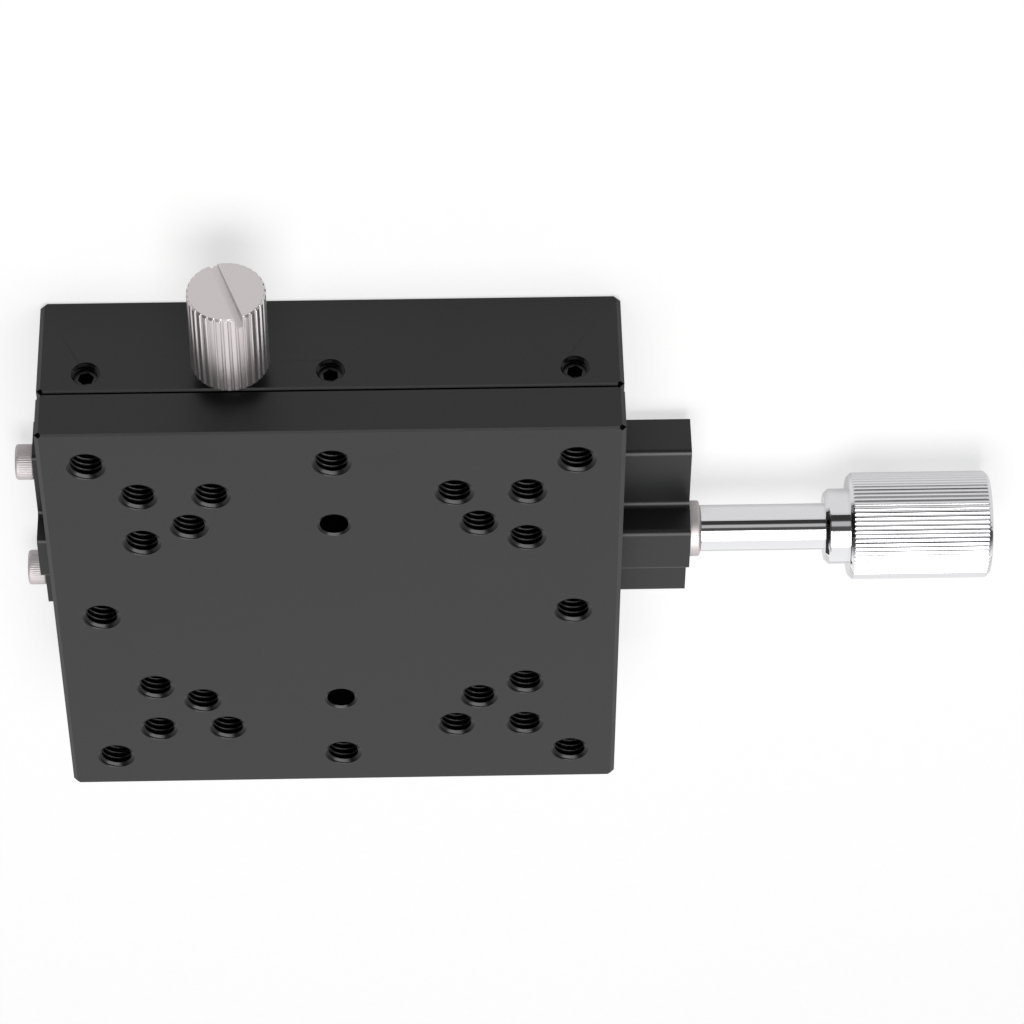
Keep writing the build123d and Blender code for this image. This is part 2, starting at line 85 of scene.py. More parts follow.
Mesh = bpy.types.Mesh
Material = bpy.types.Material
Tree = bpy.types.NodeTree
Node = bpy.types.Node
Socket = bpy.types.NodeSocket
Sockets = bpy.types.bpy_prop_collection
Pair = tuple[float, float]
Point = tuple[float, float, float]
Points = Sequence[Point]
Outline = Sequence[Pair]
Patterns = tuple[Node, Node, Node]


# Small tools


def hex_linear(code: str) -> tuple[float, float, float, float]:
    """Turn an sRGB colour, as #rrggbb, to linear red, green, blue and an alpha of 1."""
    channels = [int(code[start : start + 2], 16) / 255 for start in (1, 3, 5)]
    linear = [c / 12.92 if c <= 0.04045 else ((c + 0.055) / 1.055) ** 2.4 for c in channels]
    return (*linear, 1.0)


def per_metre(length_mm: float) -> float:
    """The texture scale whose cells are this many millimetres long."""
    return 1.0 / (length_mm * MM)


def ends(low: object, high: object, at_low: float = 0.0, at_high: float = 1.0) -> dict[str, object]:
    """Name the ends of a range, and the values that it gives there."""
    return {"From Min": low, "From Max": high, "To Min": at_low, "To Max": at_high}


def add(tree: Tree, kind: str, inputs: dict[str | int, object] | None = None, **settings: object) -> Node:
    """Add a node with its settings and links.

    Args:
        tree: the tree that gets the node.
        kind: the node's type name.
        inputs: for each input, by name or number, a value to set, a socket to link, or a node
            whose first output is linked.
        **settings: the node's own properties.

    Returns:
        The new node.
    """
    node = tree.nodes.new(kind)
    for label, setting in settings.items():
        setattr(node, label, setting)
    for label, given in (inputs or {}).items():
        source = given.outputs[0] if isinstance(given, Node) else given
        if isinstance(source, Socket):
            tree.links.new(source, node.inputs[label])
        else:
            node.inputs[label].default_value = source
    return node


class Heading(Enum):
    """Where a piece's own axis points in the row frame."""

    KNOB_END = (1.0, 0.0, 0.0)
    REAR_END = (-1.0, 0.0, 0.0)
    CLAMP_SIDE = (0.0, 1.0, 0.0)
    UP = (0.0, 0.0, 1.0)
    DOWN = (0.0, 0.0, -1.0)

    def turn(self) -> Matrix:
        """Work out the turn from a piece's own axes to the row's.

        Returns:
            A 3 x 3 rotation whose last column is the heading.
        """
        along = Vector(self.value)
        across = Vector((1.0, 0.0, 0.0)) if abs(along.z) > 0.5 else Vector((0.0, 0.0, 1.0))
        return Matrix((across, along.cross(across), along)).transposed()


# Finishes


@dataclass(frozen=True)
class Finish:
    """A procedural surface: two tones, a gloss and a relief that follow its patterns."""

    name: str
    dark: str = "#cacacc"
    light: str = "#d8d8da"
    satin: Pair = (0.3, 0.4)  # roughness at the gloss pattern's low and high ends
    relief_mm: float = 0.001
    metallic: float = 1.0
    sheen: float = 0.5  # how strongly a surface that isn't metal mirrors
    pattern_ends: Pair = (0.3, 0.7)  # the range that most of a noise lies in

    def patterns(self, tree: Tree, place: Socket) -> Patterns:
        """Lay out the finish's patterns.

        Args:
            tree: the material's tree.
            place: the object coordinates.

        Returns:
            The patterns of the tone, the gloss and the relief.
        """
        raise NotImplementedError

    def material(self) -> Material:
        """Build the material.

        Returns:
            A new material, with the constants on the shader's own sockets.
        """
        material = bpy.data.materials.new(self.name)
        material.use_nodes = True
        tree = material.node_tree
        tree.nodes.clear()
        tone, gloss, height = self.patterns(tree, add(tree, "ShaderNodeTexCoord").outputs["Object"])
        tones = {6: hex_linear(self.dark), 7: hex_linear(self.light)}
        colour = add(tree, MIX, {"Factor": tone, **tones}, data_type="RGBA")
        relief = {"Height": height, "Distance": self.relief_mm * MM, "Strength": 1.0}
        shader = add(
            tree,
            "ShaderNodeBsdfPrincipled",
            {
                "Base Color": colour.outputs[2],
                "Roughness": add(tree, RANGE, {"Value": gloss, **ends(*self.pattern_ends, *self.satin)}),
                "Normal": add(tree, "ShaderNodeBump", relief),
                "Metallic": self.metallic,
                "Specular IOR Level": self.sheen,
            },
        )
        add(tree, "ShaderNodeOutputMaterial", {"Surface": shader})
        return material


@dataclass(frozen=True)
class BlackAnodised(Finish):
    """Bead-blasted aluminium under a black dyed anodic layer.

    The eye sees a deep neutral grey with a soft sheen, a very fine even grain from the beads,
    and slow patches where the dye took a little more or less.
    """

    name: str = "aluminium_bead_blasted_black_anodised"
    dark: str = "#121213"
    light: str = "#181819"
    satin: Pair = (0.36, 0.44)
    relief_mm: float = 0.004
    metallic: float = 0.0
    bead_mm: float = 0.16  # real dents are 0.05 mm; drawn coarser, so that they show
    patch_mm: float = 9.0
    grain: float = 0.5  # how much of the grain shows in the tone
    blend: Pair = (0.45, 1.05)  # the range that grain and patches lie in together

    def patterns(self, tree: Tree, place: Socket) -> Patterns:
        """Lay out the beads' dents and the dye's patches."""
        beads, patches = [
            add(tree, NOISE, {"Vector": place, "Scale": per_metre(size), "Detail": detail})
            for size, detail in ((self.bead_mm, 2.0), (self.patch_mm, 3.0))
        ]
        both = add(tree, MATH, {0: beads, 1: self.grain, 2: patches}, operation="MULTIPLY_ADD")
        return add(tree, RANGE, {"Value": both, **ends(*self.blend)}), patches, beads


@dataclass(frozen=True)
class Mottled(Finish):
    """A finish with one even mottle in its tone, gloss and relief, drawn out along the travel or not."""

    mottle_mm: float = 0.2
    stretch: float = 1.0  # below 1 for marks that run along the travel

    def patterns(self, tree: Tree, place: Socket) -> Patterns:
        """Lay out the mottle."""
        drawn = add(tree, MOVE, {"Vector": place, "Scale": (self.stretch, 1.0, 1.0)})
        return (add(tree, NOISE, {"Vector": drawn, "Scale": per_metre(self.mottle_mm), "Detail": 2.0}),) * 3


@dataclass(frozen=True)
class SmoothAnodised(Mottled):
    """Aluminium cut after the blasting and then anodised, so that it is smooth under the black.

    The eye sees a surface that is nearly black, with a narrow gleam where it mirrors a light, and
    faint lines from the tool.
    """

    dark: str = "#060606"
    light: str = "#080808"
    satin: Pair = (0.18, 0.28)
    relief_mm: float = 0.0002
    metallic: float = 0.0
    sheen: float = 0.3
    mottle_mm: float = 0.09


@dataclass(frozen=True)
class MilledMetal(Mottled):
    """Metal with straight cutter marks along the travel.

    The eye sees a soft gleam drawn out across fine parallel marks.
    """

    dark: str = "#cfae68"
    light: str = "#e8cf92"
    satin: Pair = (0.28, 0.42)
    relief_mm: float = 0.003
    stretch: float = 0.04


@dataclass(frozen=True)
class BlackOxide(Mottled):
    """Alloy steel, hardened and blackened in salts, with a film of oil.

    The eye sees a dark grey metal with a mottled, subdued gleam.
    """

    name: str = "steel_black_oxide_oiled"
    dark: str = "#303031"
    light: str = "#4c4c4e"
    satin: Pair = (0.35, 0.43)
    mottle_mm: float = 0.25


@dataclass(frozen=True)
class SinteredBronze(Finish):
    """Pressed and sintered bronze, soaked in oil.

    The eye sees a brown metal peppered with dark pores.
    """

    name: str = "bronze_sintered_oiled"
    dark: str = "#4a3520"
    light: str = "#b98f5f"
    satin: Pair = (0.5, 0.4)
    relief_mm: float = 0.01
    pore_mm: float = 0.14
    pore_edge: Pair = (0.12, 0.3)  # how far from its middle a pore ends, in cells

    def patterns(self, tree: Tree, place: Socket) -> Patterns:
        """Lay out the pores between the grains."""
        cells = add(tree, "ShaderNodeTexVoronoi", {"Vector": place, "Scale": per_metre(self.pore_mm)})
        return (add(tree, RANGE, {"Value": cells, **ends(*self.pore_edge)}),) * 3


@dataclass(frozen=True)
class TurnedMetal(Finish):
    """Metal straight from the lathe.

    The eye sees fine rings round the piece's axis, on its ends as well as its sides, under a
    satin gleam that changes a little from ring to ring.
    """

    dark: str = "#d1cacb"
    light: str = "#dbd5d6"
    heading: Heading = Heading.KNOB_END
    centre: Point = (0.0, 0.0, SCREW_HEIGHT)
    ring_mm: float = 0.16  # the real feed was about 0.05 mm; drawn coarser, so that it shows

    def patterns(self, tree: Tree, place: Socket) -> Patterns:
        """Lay out the lathe's rings."""
        back = (Matrix.Translation(Vector(self.centre) * MM) @ self.heading.turn().to_4x4()).inverted()
        turn = {"Vector": place, "Location": back.to_translation(), "Rotation": back.to_euler()}
        x, y, z = add(tree, SPLIT, {0: add(tree, MOVE, turn)}).outputs
        radius = add(tree, VECTOR, {0: add(tree, JOIN, {"X": x, "Y": y})}, operation="LENGTH")
        along = add(tree, MATH, {0: radius.outputs["Value"], 1: z}, operation="ADD")
        feed = {"W": along, "Scale": per_metre(self.ring_mm), "Detail": 2.0}
        return (add(tree, NOISE, feed, noise_dimensions="1D"),) * 3


@dataclass(frozen=True)
class ChromePlate(Finish):
    """Bright chrome over turned brass.

    The eye sees a mirror with the room's bands in it, drawn a little uneven by the polish, with
    faint rings from the lathe under the plate. The floors of the knurl's grooves are rougher, and
    painted a darker grey as shade.
    """

    name: str = "brass_turned_bright_chrome_plated"
    dark: str = "#eeeef0"  # the polished plate
    light: str = "#b4b4b8"  # the grooves' floors, a darker grey as painted shade
    satin: Pair = (0.05, 0.36)
    relief_mm: float = 0.006
    polish_mm: float = 2.6
    lathe_mm: float = 0.35  # the real feed was about 0.1 mm; drawn coarser, so that it shows
    lathe_haze: float = 0.1  # how much of the gloss changes from ring to ring
    knurl: Pair = (55.2, 69.75)  # its ends along the travel, in mm
    groove: Pair = (5.65, 5.71)  # radius of the grooves' floors, and where their roughness and painted shade end
    blend_mm: float = 0.1

    def patterns(self, tree: Tree, place: Socket) -> Patterns:
        """Lay out the grooves' rough floors with their painted shade, the lathe's rings and the polish's
        waves.
        """
        waves = add(tree, NOISE, {"Vector": place, "Scale": per_metre(self.polish_mm), "Detail": 1.0})
        centred = add(tree, MOVE, {"Vector": place, "Location": (0.0, 0.0, -SCREW_HEIGHT * MM)})
        x, y, z = add(tree, SPLIT, {0: centred}).outputs
        feed = {"W": x, "Scale": per_metre(self.lathe_mm), "Detail": 1.0}
        rings = add(tree, NOISE, feed, noise_dimensions="1D")
        radius = add(tree, VECTOR, {0: add(tree, JOIN, {"X": y, "Y": z})}, operation="LENGTH")
        start, end = self.knurl
        reach = (end - start) / 2
        aside = add(tree, MATH, {0: x, 1: (start + end) / 2 * MM}, operation="SUBTRACT")
        away = add(tree, MATH, {0: aside}, operation="ABSOLUTE")
        measures = ((radius.outputs["Value"], *self.groove), (away, reach - self.blend_mm, reach))
        deep, within = [
            add(tree, RANGE, {"Value": measure, **ends(low * MM, high * MM, 1.0, 0.0)})
            for measure, low, high in measures
        ]
        # the grooves' floors: rougher, and a darker tone that is painted shade
        floor_rough_painted_shade = add(tree, MATH, {0: deep, 1: within}, operation="MULTIPLY")
        low_end, high_end = self.pattern_ends
        span = high_end - low_end
        haze = {0: rings, 1: self.lathe_haze * span, 2: low_end}
        gloss = {0: floor_rough_painted_shade, 1: span, 2: add(tree, MATH, haze, operation="MULTIPLY_ADD")}
        return floor_rough_painted_shade, add(tree, MATH, gloss, operation="MULTIPLY_ADD"), waves


@dataclass(frozen=True)
class PaleFloor(Mottled):
    """The studio's sheet of pale paper, which shows white and keeps the object's shadow."""

    name: str = "paper_matt_white"
    dark: str = "#9a9a9a"
    light: str = "#9e9e9e"
    satin: Pair = (0.9, 0.92)
    relief_mm: float = 0.02
    metallic: float = 0.0
    sheen: float = 0.0
    mottle_mm: float = 1.5
    glow_seen: float = 0.68
    glow_mirrored: float = 0.44

    def material(self) -> Material:
        """Build the material.

        Returns:
            The paper, with a glow that only shows and isn't a light. From below it is clear, so
            that the object's underside can be looked at.
        """
        material = super().material()
        tree = material.node_tree
        seen = add(tree, "ShaderNodeLightPath").outputs
        rays = {0: seen["Is Glossy Ray"], 1: seen["Is Transmission Ray"]}
        mirrored = add(tree, MATH, rays, operation="MAXIMUM")
        faint = add(tree, MATH, {0: mirrored, 1: self.glow_mirrored}, operation="MULTIPLY")
        shown = {0: seen["Is Camera Ray"], 1: self.glow_seen, 2: faint}
        glow = add(tree, MATH, shown, operation="MULTIPLY_ADD")
        shader = tree.nodes["Principled BSDF"]
        tree.links.new(glow.outputs[0], shader.inputs["Emission Strength"])
        shader.inputs["Emission Color"].default_value = WHITE
        below = add(tree, "ShaderNodeNewGeometry").outputs["Backfacing"]
        clear = add(tree, "ShaderNodeBsdfTransparent")
        sheet = add(tree, "ShaderNodeMixShader", {0: below, 1: shader, 2: clear})
        tree.links.new(sheet.outputs[0], tree.nodes["Material Output"].inputs["Surface"])
        material.cycles.emission_sampling = "NONE"
        return material


# Meshes


def rounded(corners: Sequence[tuple[float, ...]], steps: int = 6) -> list[Pair]:
    """Round the marked corners of an outline.

    Args:
        corners: the outline's heights and radii in mm, and a corner's rounding where it has one.
        steps: how many runs each round has.

    Returns:
        The outline's points as height and radius.
    """
    spots = [Vector(corner[:2]) for corner in corners]
    points: list[Pair] = []
    for index, (here, corner) in enumerate(zip(spots, corners)):
        if len(corner) == 2:
            points.append(tuple(here))
            continue
        back = (spots[index - 1] - here).normalized()
        on = (spots[(index + 1) % len(spots)] - here).normalized()
        half = back.angle(on) / 2
        reach = corner[2] / math.tan(half)
        centre = here + (back + on).normalized() * corner[2] / math.sin(half)
        first, last = here + back * reach - centre, here + on * reach - centre
        sweep = first.angle(last)
        for step in range(steps + 1):
            share = step / steps
            spoke = first * math.sin((1 - share) * sweep) + last * math.sin(share * sweep)
            points.append(tuple(centre + spoke / math.sin(sweep)))
    return points


def spaced(outline: Outline, lowest: float, highest: float, step: float) -> list[Pair]:
    """Add points along an outline's runs between two heights, where a groove has to follow.

    Args:
        outline: points as height and radius.
        lowest: height where the added points start.
        highest: height where they end.
        step: the longest run between points.

    Returns:
        The outline with the added points.
    """
    points = [outline[0]]
    for before, after in zip(outline, outline[1:]):
        under = min(before[0], after[0]) < highest - EDGE_PLAY
        inside = under and max(before[0], after[0]) > lowest + EDGE_PLAY
        runs = max(1, math.ceil(math.dist(before, after) / step)) if inside else 1
        for run in range(1, runs + 1):
            points.append(tuple(b + (a - b) * run / runs for b, a in zip(before, after)))
    return points


def turned(name: str, outline: Outline, segments: int, closed: bool = False) -> Mesh:
    """Turn an outline round the local Z axis.

    Args:
        name: the mesh's name.
        outline: points as height and radius. It starts and ends on the axis, or is closed as a
            ring, and has the solid on its left.
        segments: how many faces go round.
        closed: whether the outline is a ring clear of the axis.

    Returns:
        The mesh, in mm.
    """
    shape = bmesh.new()
    turns = [2 * math.pi * step / segments for step in range(segments)]
    rows = []
    for height, radius in outline:
        spots = [(radius * math.cos(a), radius * math.sin(a), height) for a in turns]
        rows.append([shape.verts.new(spot) for spot in (spots[:1] if radius < ON_AXIS else spots)])
    for low, high in zip(rows, rows[1:] + rows[:1] if closed else rows[1:]):
        for step in range(segments):
            on = (step + 1) % segments
            ring = [low[step % len(low)], low[on % len(low)], high[on % len(high)], high[step % len(high)]]
            shape.faces.new(list(dict.fromkeys(ring)))
    mesh = bpy.data.meshes.new(name)
    shape.to_mesh(mesh)
    shape.free()
    return mesh


def in_row(mesh: Mesh, heading: Heading, origin: Point) -> Mesh:
    """Move a mesh from its own axes to the row frame, in mm."""
    mesh.transform(Matrix.Translation(origin) @ heading.turn().to_4x4())
    return mesh


def merged_copy(node: str) -> Mesh:
    """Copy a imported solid's mesh in mm, with its loose triangles joined.

    Args:
        node: the CAD node's name.

    Returns:
        The new mesh, without materials.
    """
    shape = bmesh.new()
    shape.from_mesh(bpy.data.objects[node].data)
    bmesh.ops.scale(shape, vec=(1 / MM,) * 3, verts=shape.verts)
    bmesh.ops.remove_doubles(shape, verts=shape.verts, dist=MERGE_DISTANCE)
    mesh = bpy.data.meshes.new(f"{node}_merged")
    shape.to_mesh(mesh)
    shape.free()
    if mesh.has_custom_normals:
        mesh.attributes.remove(mesh.attributes["custom_normal"])
    return mesh


def bench(mesh: Mesh) -> bpy.types.Object:
    """Put a mesh on an object that is only there while something is made."""
    holder = bpy.data.objects.new(f"{mesh.name}_on_the_bench", mesh)
    bpy.context.scene.collection.objects.link(holder)
    return holder


def evaluated(name: str, holder: bpy.types.Object) -> Mesh:
    """Take what an object's modifiers make as a plain mesh, and clear the object away.

    Args:
        name: the new mesh's name.
        holder: the object with the modifiers.

    Returns:
        The plain mesh.
    """
    graph = bpy.context.evaluated_depsgraph_get()
    mesh = bpy.data.meshes.new_from_object(holder.evaluated_get(graph), depsgraph=graph)
    mesh.name = name
    holder.modifiers.clear()
    bpy.data.objects.remove(holder)
    return mesh


def cut(mesh: Mesh, cutter: Mesh) -> Mesh:
    """Cut one closed mesh out of another.

    Args:
        mesh: the workpiece.
        cutter: the shape that is taken away.

    Returns:
        The mesh that is left.
    """
    work, tool = bench(mesh), bench(cutter)
    boolean = work.modifiers.new("cut", "BOOLEAN")
    boolean.operation = "DIFFERENCE"
    boolean.solver = "MANIFOLD"
    boolean.object = tool
    result = evaluated(mesh.name, work)
    bpy.data.objects.remove(tool)
    if len(result.polygons) == len(mesh.polygons):
        raise RuntimeError(f"the cut in {mesh.name} left it as it was")
    return result


# Geometry Nodes


class Groove(Enum):
    """The kinds of groove: a tree's name, the size that sets its pitch, and its walls' shape."""

    KNURL = ("straight_knurl", "Ridges", "SMOOTHSTEP")
    THREAD = ("rolled_thread", "Pitch", "LINEAR")


class ShopTrees:
    """The Geometry Nodes trees that make threads, knurls and sets of screws."""

    RIDGE_INPUTS = ("Pitch", "Turns", "Inner Radius", "Depth", "Crest Width", "Root Width")
    RIDGE_CORNERS = (  # of a thread ridge's section: its width, how far out it is, and its side
        ("Root Width", None, -0.5),
        ("Crest Width", "Depth", -0.5),
        ("Crest Width", "Depth", 0.5),
        ("Root Width", None, 0.5),
    )
    GROOVE_INPUTS = ("Radius", "Depth", "Crest Share", "Root Share", "Start", "End", "Run Out")
    NO_LIMIT = 1000.0  # mm, leaves a radius as it is past a groove's ends
    NO_GROOVE = 1e-6  # a share of the depth below this is past a groove's ends

    @staticmethod
    def start(name: str, inputs: dict[str, str]) -> tuple[Tree, Sockets]:
        """Start a tree with a geometry input and output and a material input.

        Args:
            name: the tree's name.
            inputs: for each further input, its socket type.

        Returns:
            The tree, and its inputs as sockets to link from.
        """
        tree = bpy.data.node_groups.new(name, "GeometryNodeTree")
        tree.interface.new_socket("Geometry", in_out="OUTPUT", socket_type="NodeSocketGeometry")
        kinds = {"Geometry": "NodeSocketGeometry", **inputs, "Material": "NodeSocketMaterial"}
        for label, kind in kinds.items():
            tree.interface.new_socket(label, in_out="INPUT", socket_type=kind)
        return tree, add(tree, "NodeGroupInput").outputs

    @staticmethod
    def end(tree: Tree, given: Sockets, geometry: Node) -> Tree:
        """End a tree: everything becomes a real mesh with the given material."""
        real = add(tree, "GeometryNodeRealizeInstances", {"Geometry": geometry})
        dressed = {"Geometry": real, "Material": given["Material"]}
        add(tree, "NodeGroupOutput", {0: add(tree, "GeometryNodeSetMaterial", dressed)})
        return tree

    @classmethod
    def thread_cutters(cls) -> Tree:
        """Build the tree that stands a right-hand thread ridge at each point.

        Returns:
            The tree. Its input points are the lower ends of the threads' axes.
        """
        kinds = dict.fromkeys(cls.RIDGE_INPUTS, FLOAT)
        kinds |= {"Steps": "NodeSocketInt", "Heading": "NodeSocketVector"}
        tree, given = cls.start("thread_cutters", kinds)
        helix = add(
            tree,
            "GeometryNodeCurveSpiral",
            {
                "Resolution": given["Steps"],
                "Rotations": given["Turns"],
                "Start Radius": given["Inner Radius"],
                "End Radius": given["Inner Radius"],
                "Height": add(tree, MATH, {0: given["Pitch"], 1: given["Turns"]}, operation="MULTIPLY"),
                "Reverse": True,
            },
        )
        section = add(tree, "GeometryNodeCurvePrimitiveQuadrilateral", mode="POINTS")
        for number, (width, out, side) in enumerate(cls.RIDGE_CORNERS, start=1):
            across = add(tree, MATH, {0: given[width], 1: side}, operation="MULTIPLY")
            corner = add(tree, JOIN, {"X": given[out] if out else 0.0, "Y": across})
            tree.links.new(corner.outputs[0], section.inputs[f"Point {number}"])
        upright = add(tree, "GeometryNodeSetCurveNormal", {"Curve": helix}, mode="Z_UP")
        sweep = {"Curve": upright, "Profile Curve": section, "Fill Caps": True}
        ridge = add(tree, "GeometryNodeCurveToMesh", sweep)
        turn = add(tree, "FunctionNodeEulerToRotation", {"Euler": given["Heading"]})
        spots = {"Points": given["Geometry"], "Instance": ridge, "Rotation": turn}
        return cls.end(tree, given, add(tree, "GeometryNodeInstanceOnPoints", spots))

    @classmethod
    def grooves(cls, groove: Groove) -> Tree:
        """Build a tree that cuts grooves in a turned piece.

        Args:
            groove: straight grooves along the piece, or a right-hand thread round it.

        Returns:
            The tree. It cuts a groove wherever the phase, in pitches, passes one half.
        """
        name, size, walls = groove.value
        tree, given = cls.start(name, dict.fromkeys((size, *cls.GROOVE_INPUTS), FLOAT))
        place = add(tree, "GeometryNodeInputPosition")
        x, y, z = add(tree, SPLIT, {0: place}).outputs
        angle = add(tree, MATH, {0: y, 1: x}, operation="ARCTAN2")
        turns = add(tree, MATH, {0: angle, 1: 2 * math.pi}, operation="DIVIDE")
        if groove is Groove.KNURL:
            phase = add(tree, MATH, {0: turns, 1: given[size]}, operation="MULTIPLY")
        else:
            rise = add(tree, MATH, {0: z, 1: given[size]}, operation="DIVIDE")
            phase = add(tree, MATH, {0: rise, 1: turns}, operation="SUBTRACT")
        part = add(tree, MATH, {0: phase}, operation="FRACT")
        off = add(tree, MATH, {0: part, 1: 0.5}, operation="SUBTRACT")
        side = add(tree, MATH, {0: off}, operation="ABSOLUTE")
        away = add(tree, MATH, {0: side, 1: 2.0}, operation="MULTIPLY")
        crest = add(tree, MATH, {0: 1.0, 1: given["Crest Share"]}, operation="SUBTRACT")
        below = add(tree, MATH, {0: given["Start"], 1: given["Run Out"]}, operation="SUBTRACT")
        above = add(tree, MATH, {0: given["End"], 1: given["Run Out"]}, operation="ADD")
        wall, rise, fall = [
            add(tree, RANGE, {"Value": value, **span}, interpolation_type=shape)
            for value, span, shape in (
                (away, ends(given["Root Share"], crest, 1.0, 0.0), walls),
                (z, ends(below, given["Start"]), "SMOOTHSTEP"),
                (z, ends(given["End"], above, 1.0, 0.0), "SMOOTHSTEP"),
            )
        ]
        within = add(tree, MATH, {0: rise, 1: fall}, operation="MULTIPLY")
        share = add(tree, MATH, {0: wall, 1: within}, operation="MULTIPLY")
        depth = add(tree, MATH, {0: share, 1: given["Depth"]}, operation="MULTIPLY")
        floor = add(tree, MATH, {0: given["Radius"], 1: depth}, operation="SUBTRACT")
        past = add(tree, MATH, {0: within, 1: cls.NO_GROOVE}, operation="LESS_THAN")
        limit = add(tree, MATH, {0: past, 1: cls.NO_LIMIT, 2: floor}, operation="MULTIPLY_ADD")
        level = add(tree, VECTOR, {0: add(tree, JOIN, {"X": x, "Y": y})}, operation="LENGTH")
        radius = level.outputs["Value"]
        kept = add(tree, MATH, {0: radius, 1: limit}, operation="MINIMUM")
        ratio = add(tree, MATH, {0: kept, 1: radius}, operation="DIVIDE")
        shrink = add(tree, JOIN, {"X": ratio, "Y": ratio, "Z": 1.0})
        moved = add(tree, VECTOR, {0: place, 1: shrink}, operation="MULTIPLY")
        shaped = {"Geometry": given["Geometry"], "Position": moved}
        return cls.end(tree, given, add(tree, "GeometryNodeSetPosition", shaped))

    @classmethod
    def copies(cls) -> Tree:
        """Build the tree that puts the same piece at each point, each turned as it was tightened.

        Returns:
            The tree. The turn is random between 0 and Turn Spread, from a fixed seed.
        """
        kinds = {"Piece": "NodeSocketObject", "Heading": "NodeSocketVector"}
        tree, given = cls.start("copies", {**kinds, "Turn Spread": FLOAT, "Seed": "NodeSocketInt"})
        piece = add(tree, "GeometryNodeObjectInfo", {"Object": given["Piece"]})
        spread = {2: 0.0, 3: given["Turn Spread"], "Seed": given["Seed"]}
        tight = add(tree, "FunctionNodeRandomValue", spread)
        spin = add(tree, JOIN, {"Z": tight.outputs[1]})
        turns = (spin, given["Heading"])
        twist, heading = [add(tree, "FunctionNodeEulerToRotation", {0: turn}) for turn in turns]
        both = {"Rotation": heading, "Rotate By": twist}
        turned_so = add(tree, "FunctionNodeRotateRotation", both, rotation_space="LOCAL")
        spots = {"Points": given["Geometry"], "Instance": piece.outputs["Geometry"], "Rotation": turned_so}
        return cls.end(tree, given, add(tree, "GeometryNodeInstanceOnPoints", spots))


def grown(mesh: Mesh, tree: Tree, **sizes: object) -> Mesh:
    """Run a Geometry Nodes tree over a mesh.

    Args:
        mesh: what the tree starts from.
        tree: the tree.
        **sizes: its inputs, each named in lower case with underscores.

    Returns:
        What it makes, as a plain mesh.
    """
    holder = bench(mesh)
    modifier = holder.modifiers.new(tree.name, "NODES")
    modifier.node_group = tree
    sockets = {item.name: item.identifier for item in tree.interface.items_tree if item.in_out == "INPUT"}
    for label, value in sizes.items():
        modifier[sockets[label.replace("_", " ").title()]] = value
    return evaluated(mesh.name, holder)


def points_mesh(name: str, points: Points) -> Mesh:
    """Make a mesh of loose points."""
    mesh = bpy.data.meshes.new(name)
    mesh.from_pydata(points, [], [])
    return mesh


# Pieces in the scene


def stand_in(name: str, node: str, mesh: Mesh, body: str, slot: str, *materials: Material) -> None:
    """Finish a piece that stands for a CAD node.

    Args:
        name: the piece's name.
        node: the CAD node it replaces.
        mesh: its mesh in the row frame, in mm.
        body: the body it rides on.
        slot: the record's material slot; not used.
        *materials: its materials, in the order of the faces' numbers.
    """
    mesh.transform(Matrix.Scale(MM, 4))
    marks = [face.material_index if len(materials) > 1 else 0 for face in mesh.polygons]
    mesh.materials.clear()
    for material in materials:
        mesh.materials.append(material)
    mesh.polygons.foreach_set("material_index", marks)
    mesh.shade_smooth()
    mesh.set_sharp_from_angle(angle=CREASE)
    mesh.name = name
    piece = bpy.data.objects.new(name, mesh)
    bpy.context.scene.collection.objects.link(piece)
    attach(piece, body)
    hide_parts(node)
    log.info("%s: %d faces, rides on %s", name, len(mesh.polygons), body)


def dress(node: str, material: Material) -> None:
    """Give a CAD node that keeps its shape a better material."""
    for place in bpy.data.objects[node].material_slots:
        place.material = material
    log.info("%s: packed solid in %s", node, material.name)


@dataclass(frozen=True)
class Thread:
    """A metric thread's sizes, in mm."""

    pitch: float
    major_radius: float
    tap_radius: float

    @property
    def crest_width(self) -> float:
        """Width of a nut thread's groove at its bottom."""
        return self.pitch / 8

    def groove_width(self, radius: float) -> float:
        """Width of the 60 degree groove at a radius."""
        return self.crest_width + 2 * (self.major_radius - radius) * math.tan(math.radians(30))


M4 = Thread(pitch=0.7, major_radius=2.0, tap_radius=1.65)
M3 = Thread(pitch=0.5, major_radius=1.5, tap_radius=1.25)
M2 = Thread(pitch=0.4, major_radius=1.0, tap_radius=0.8)


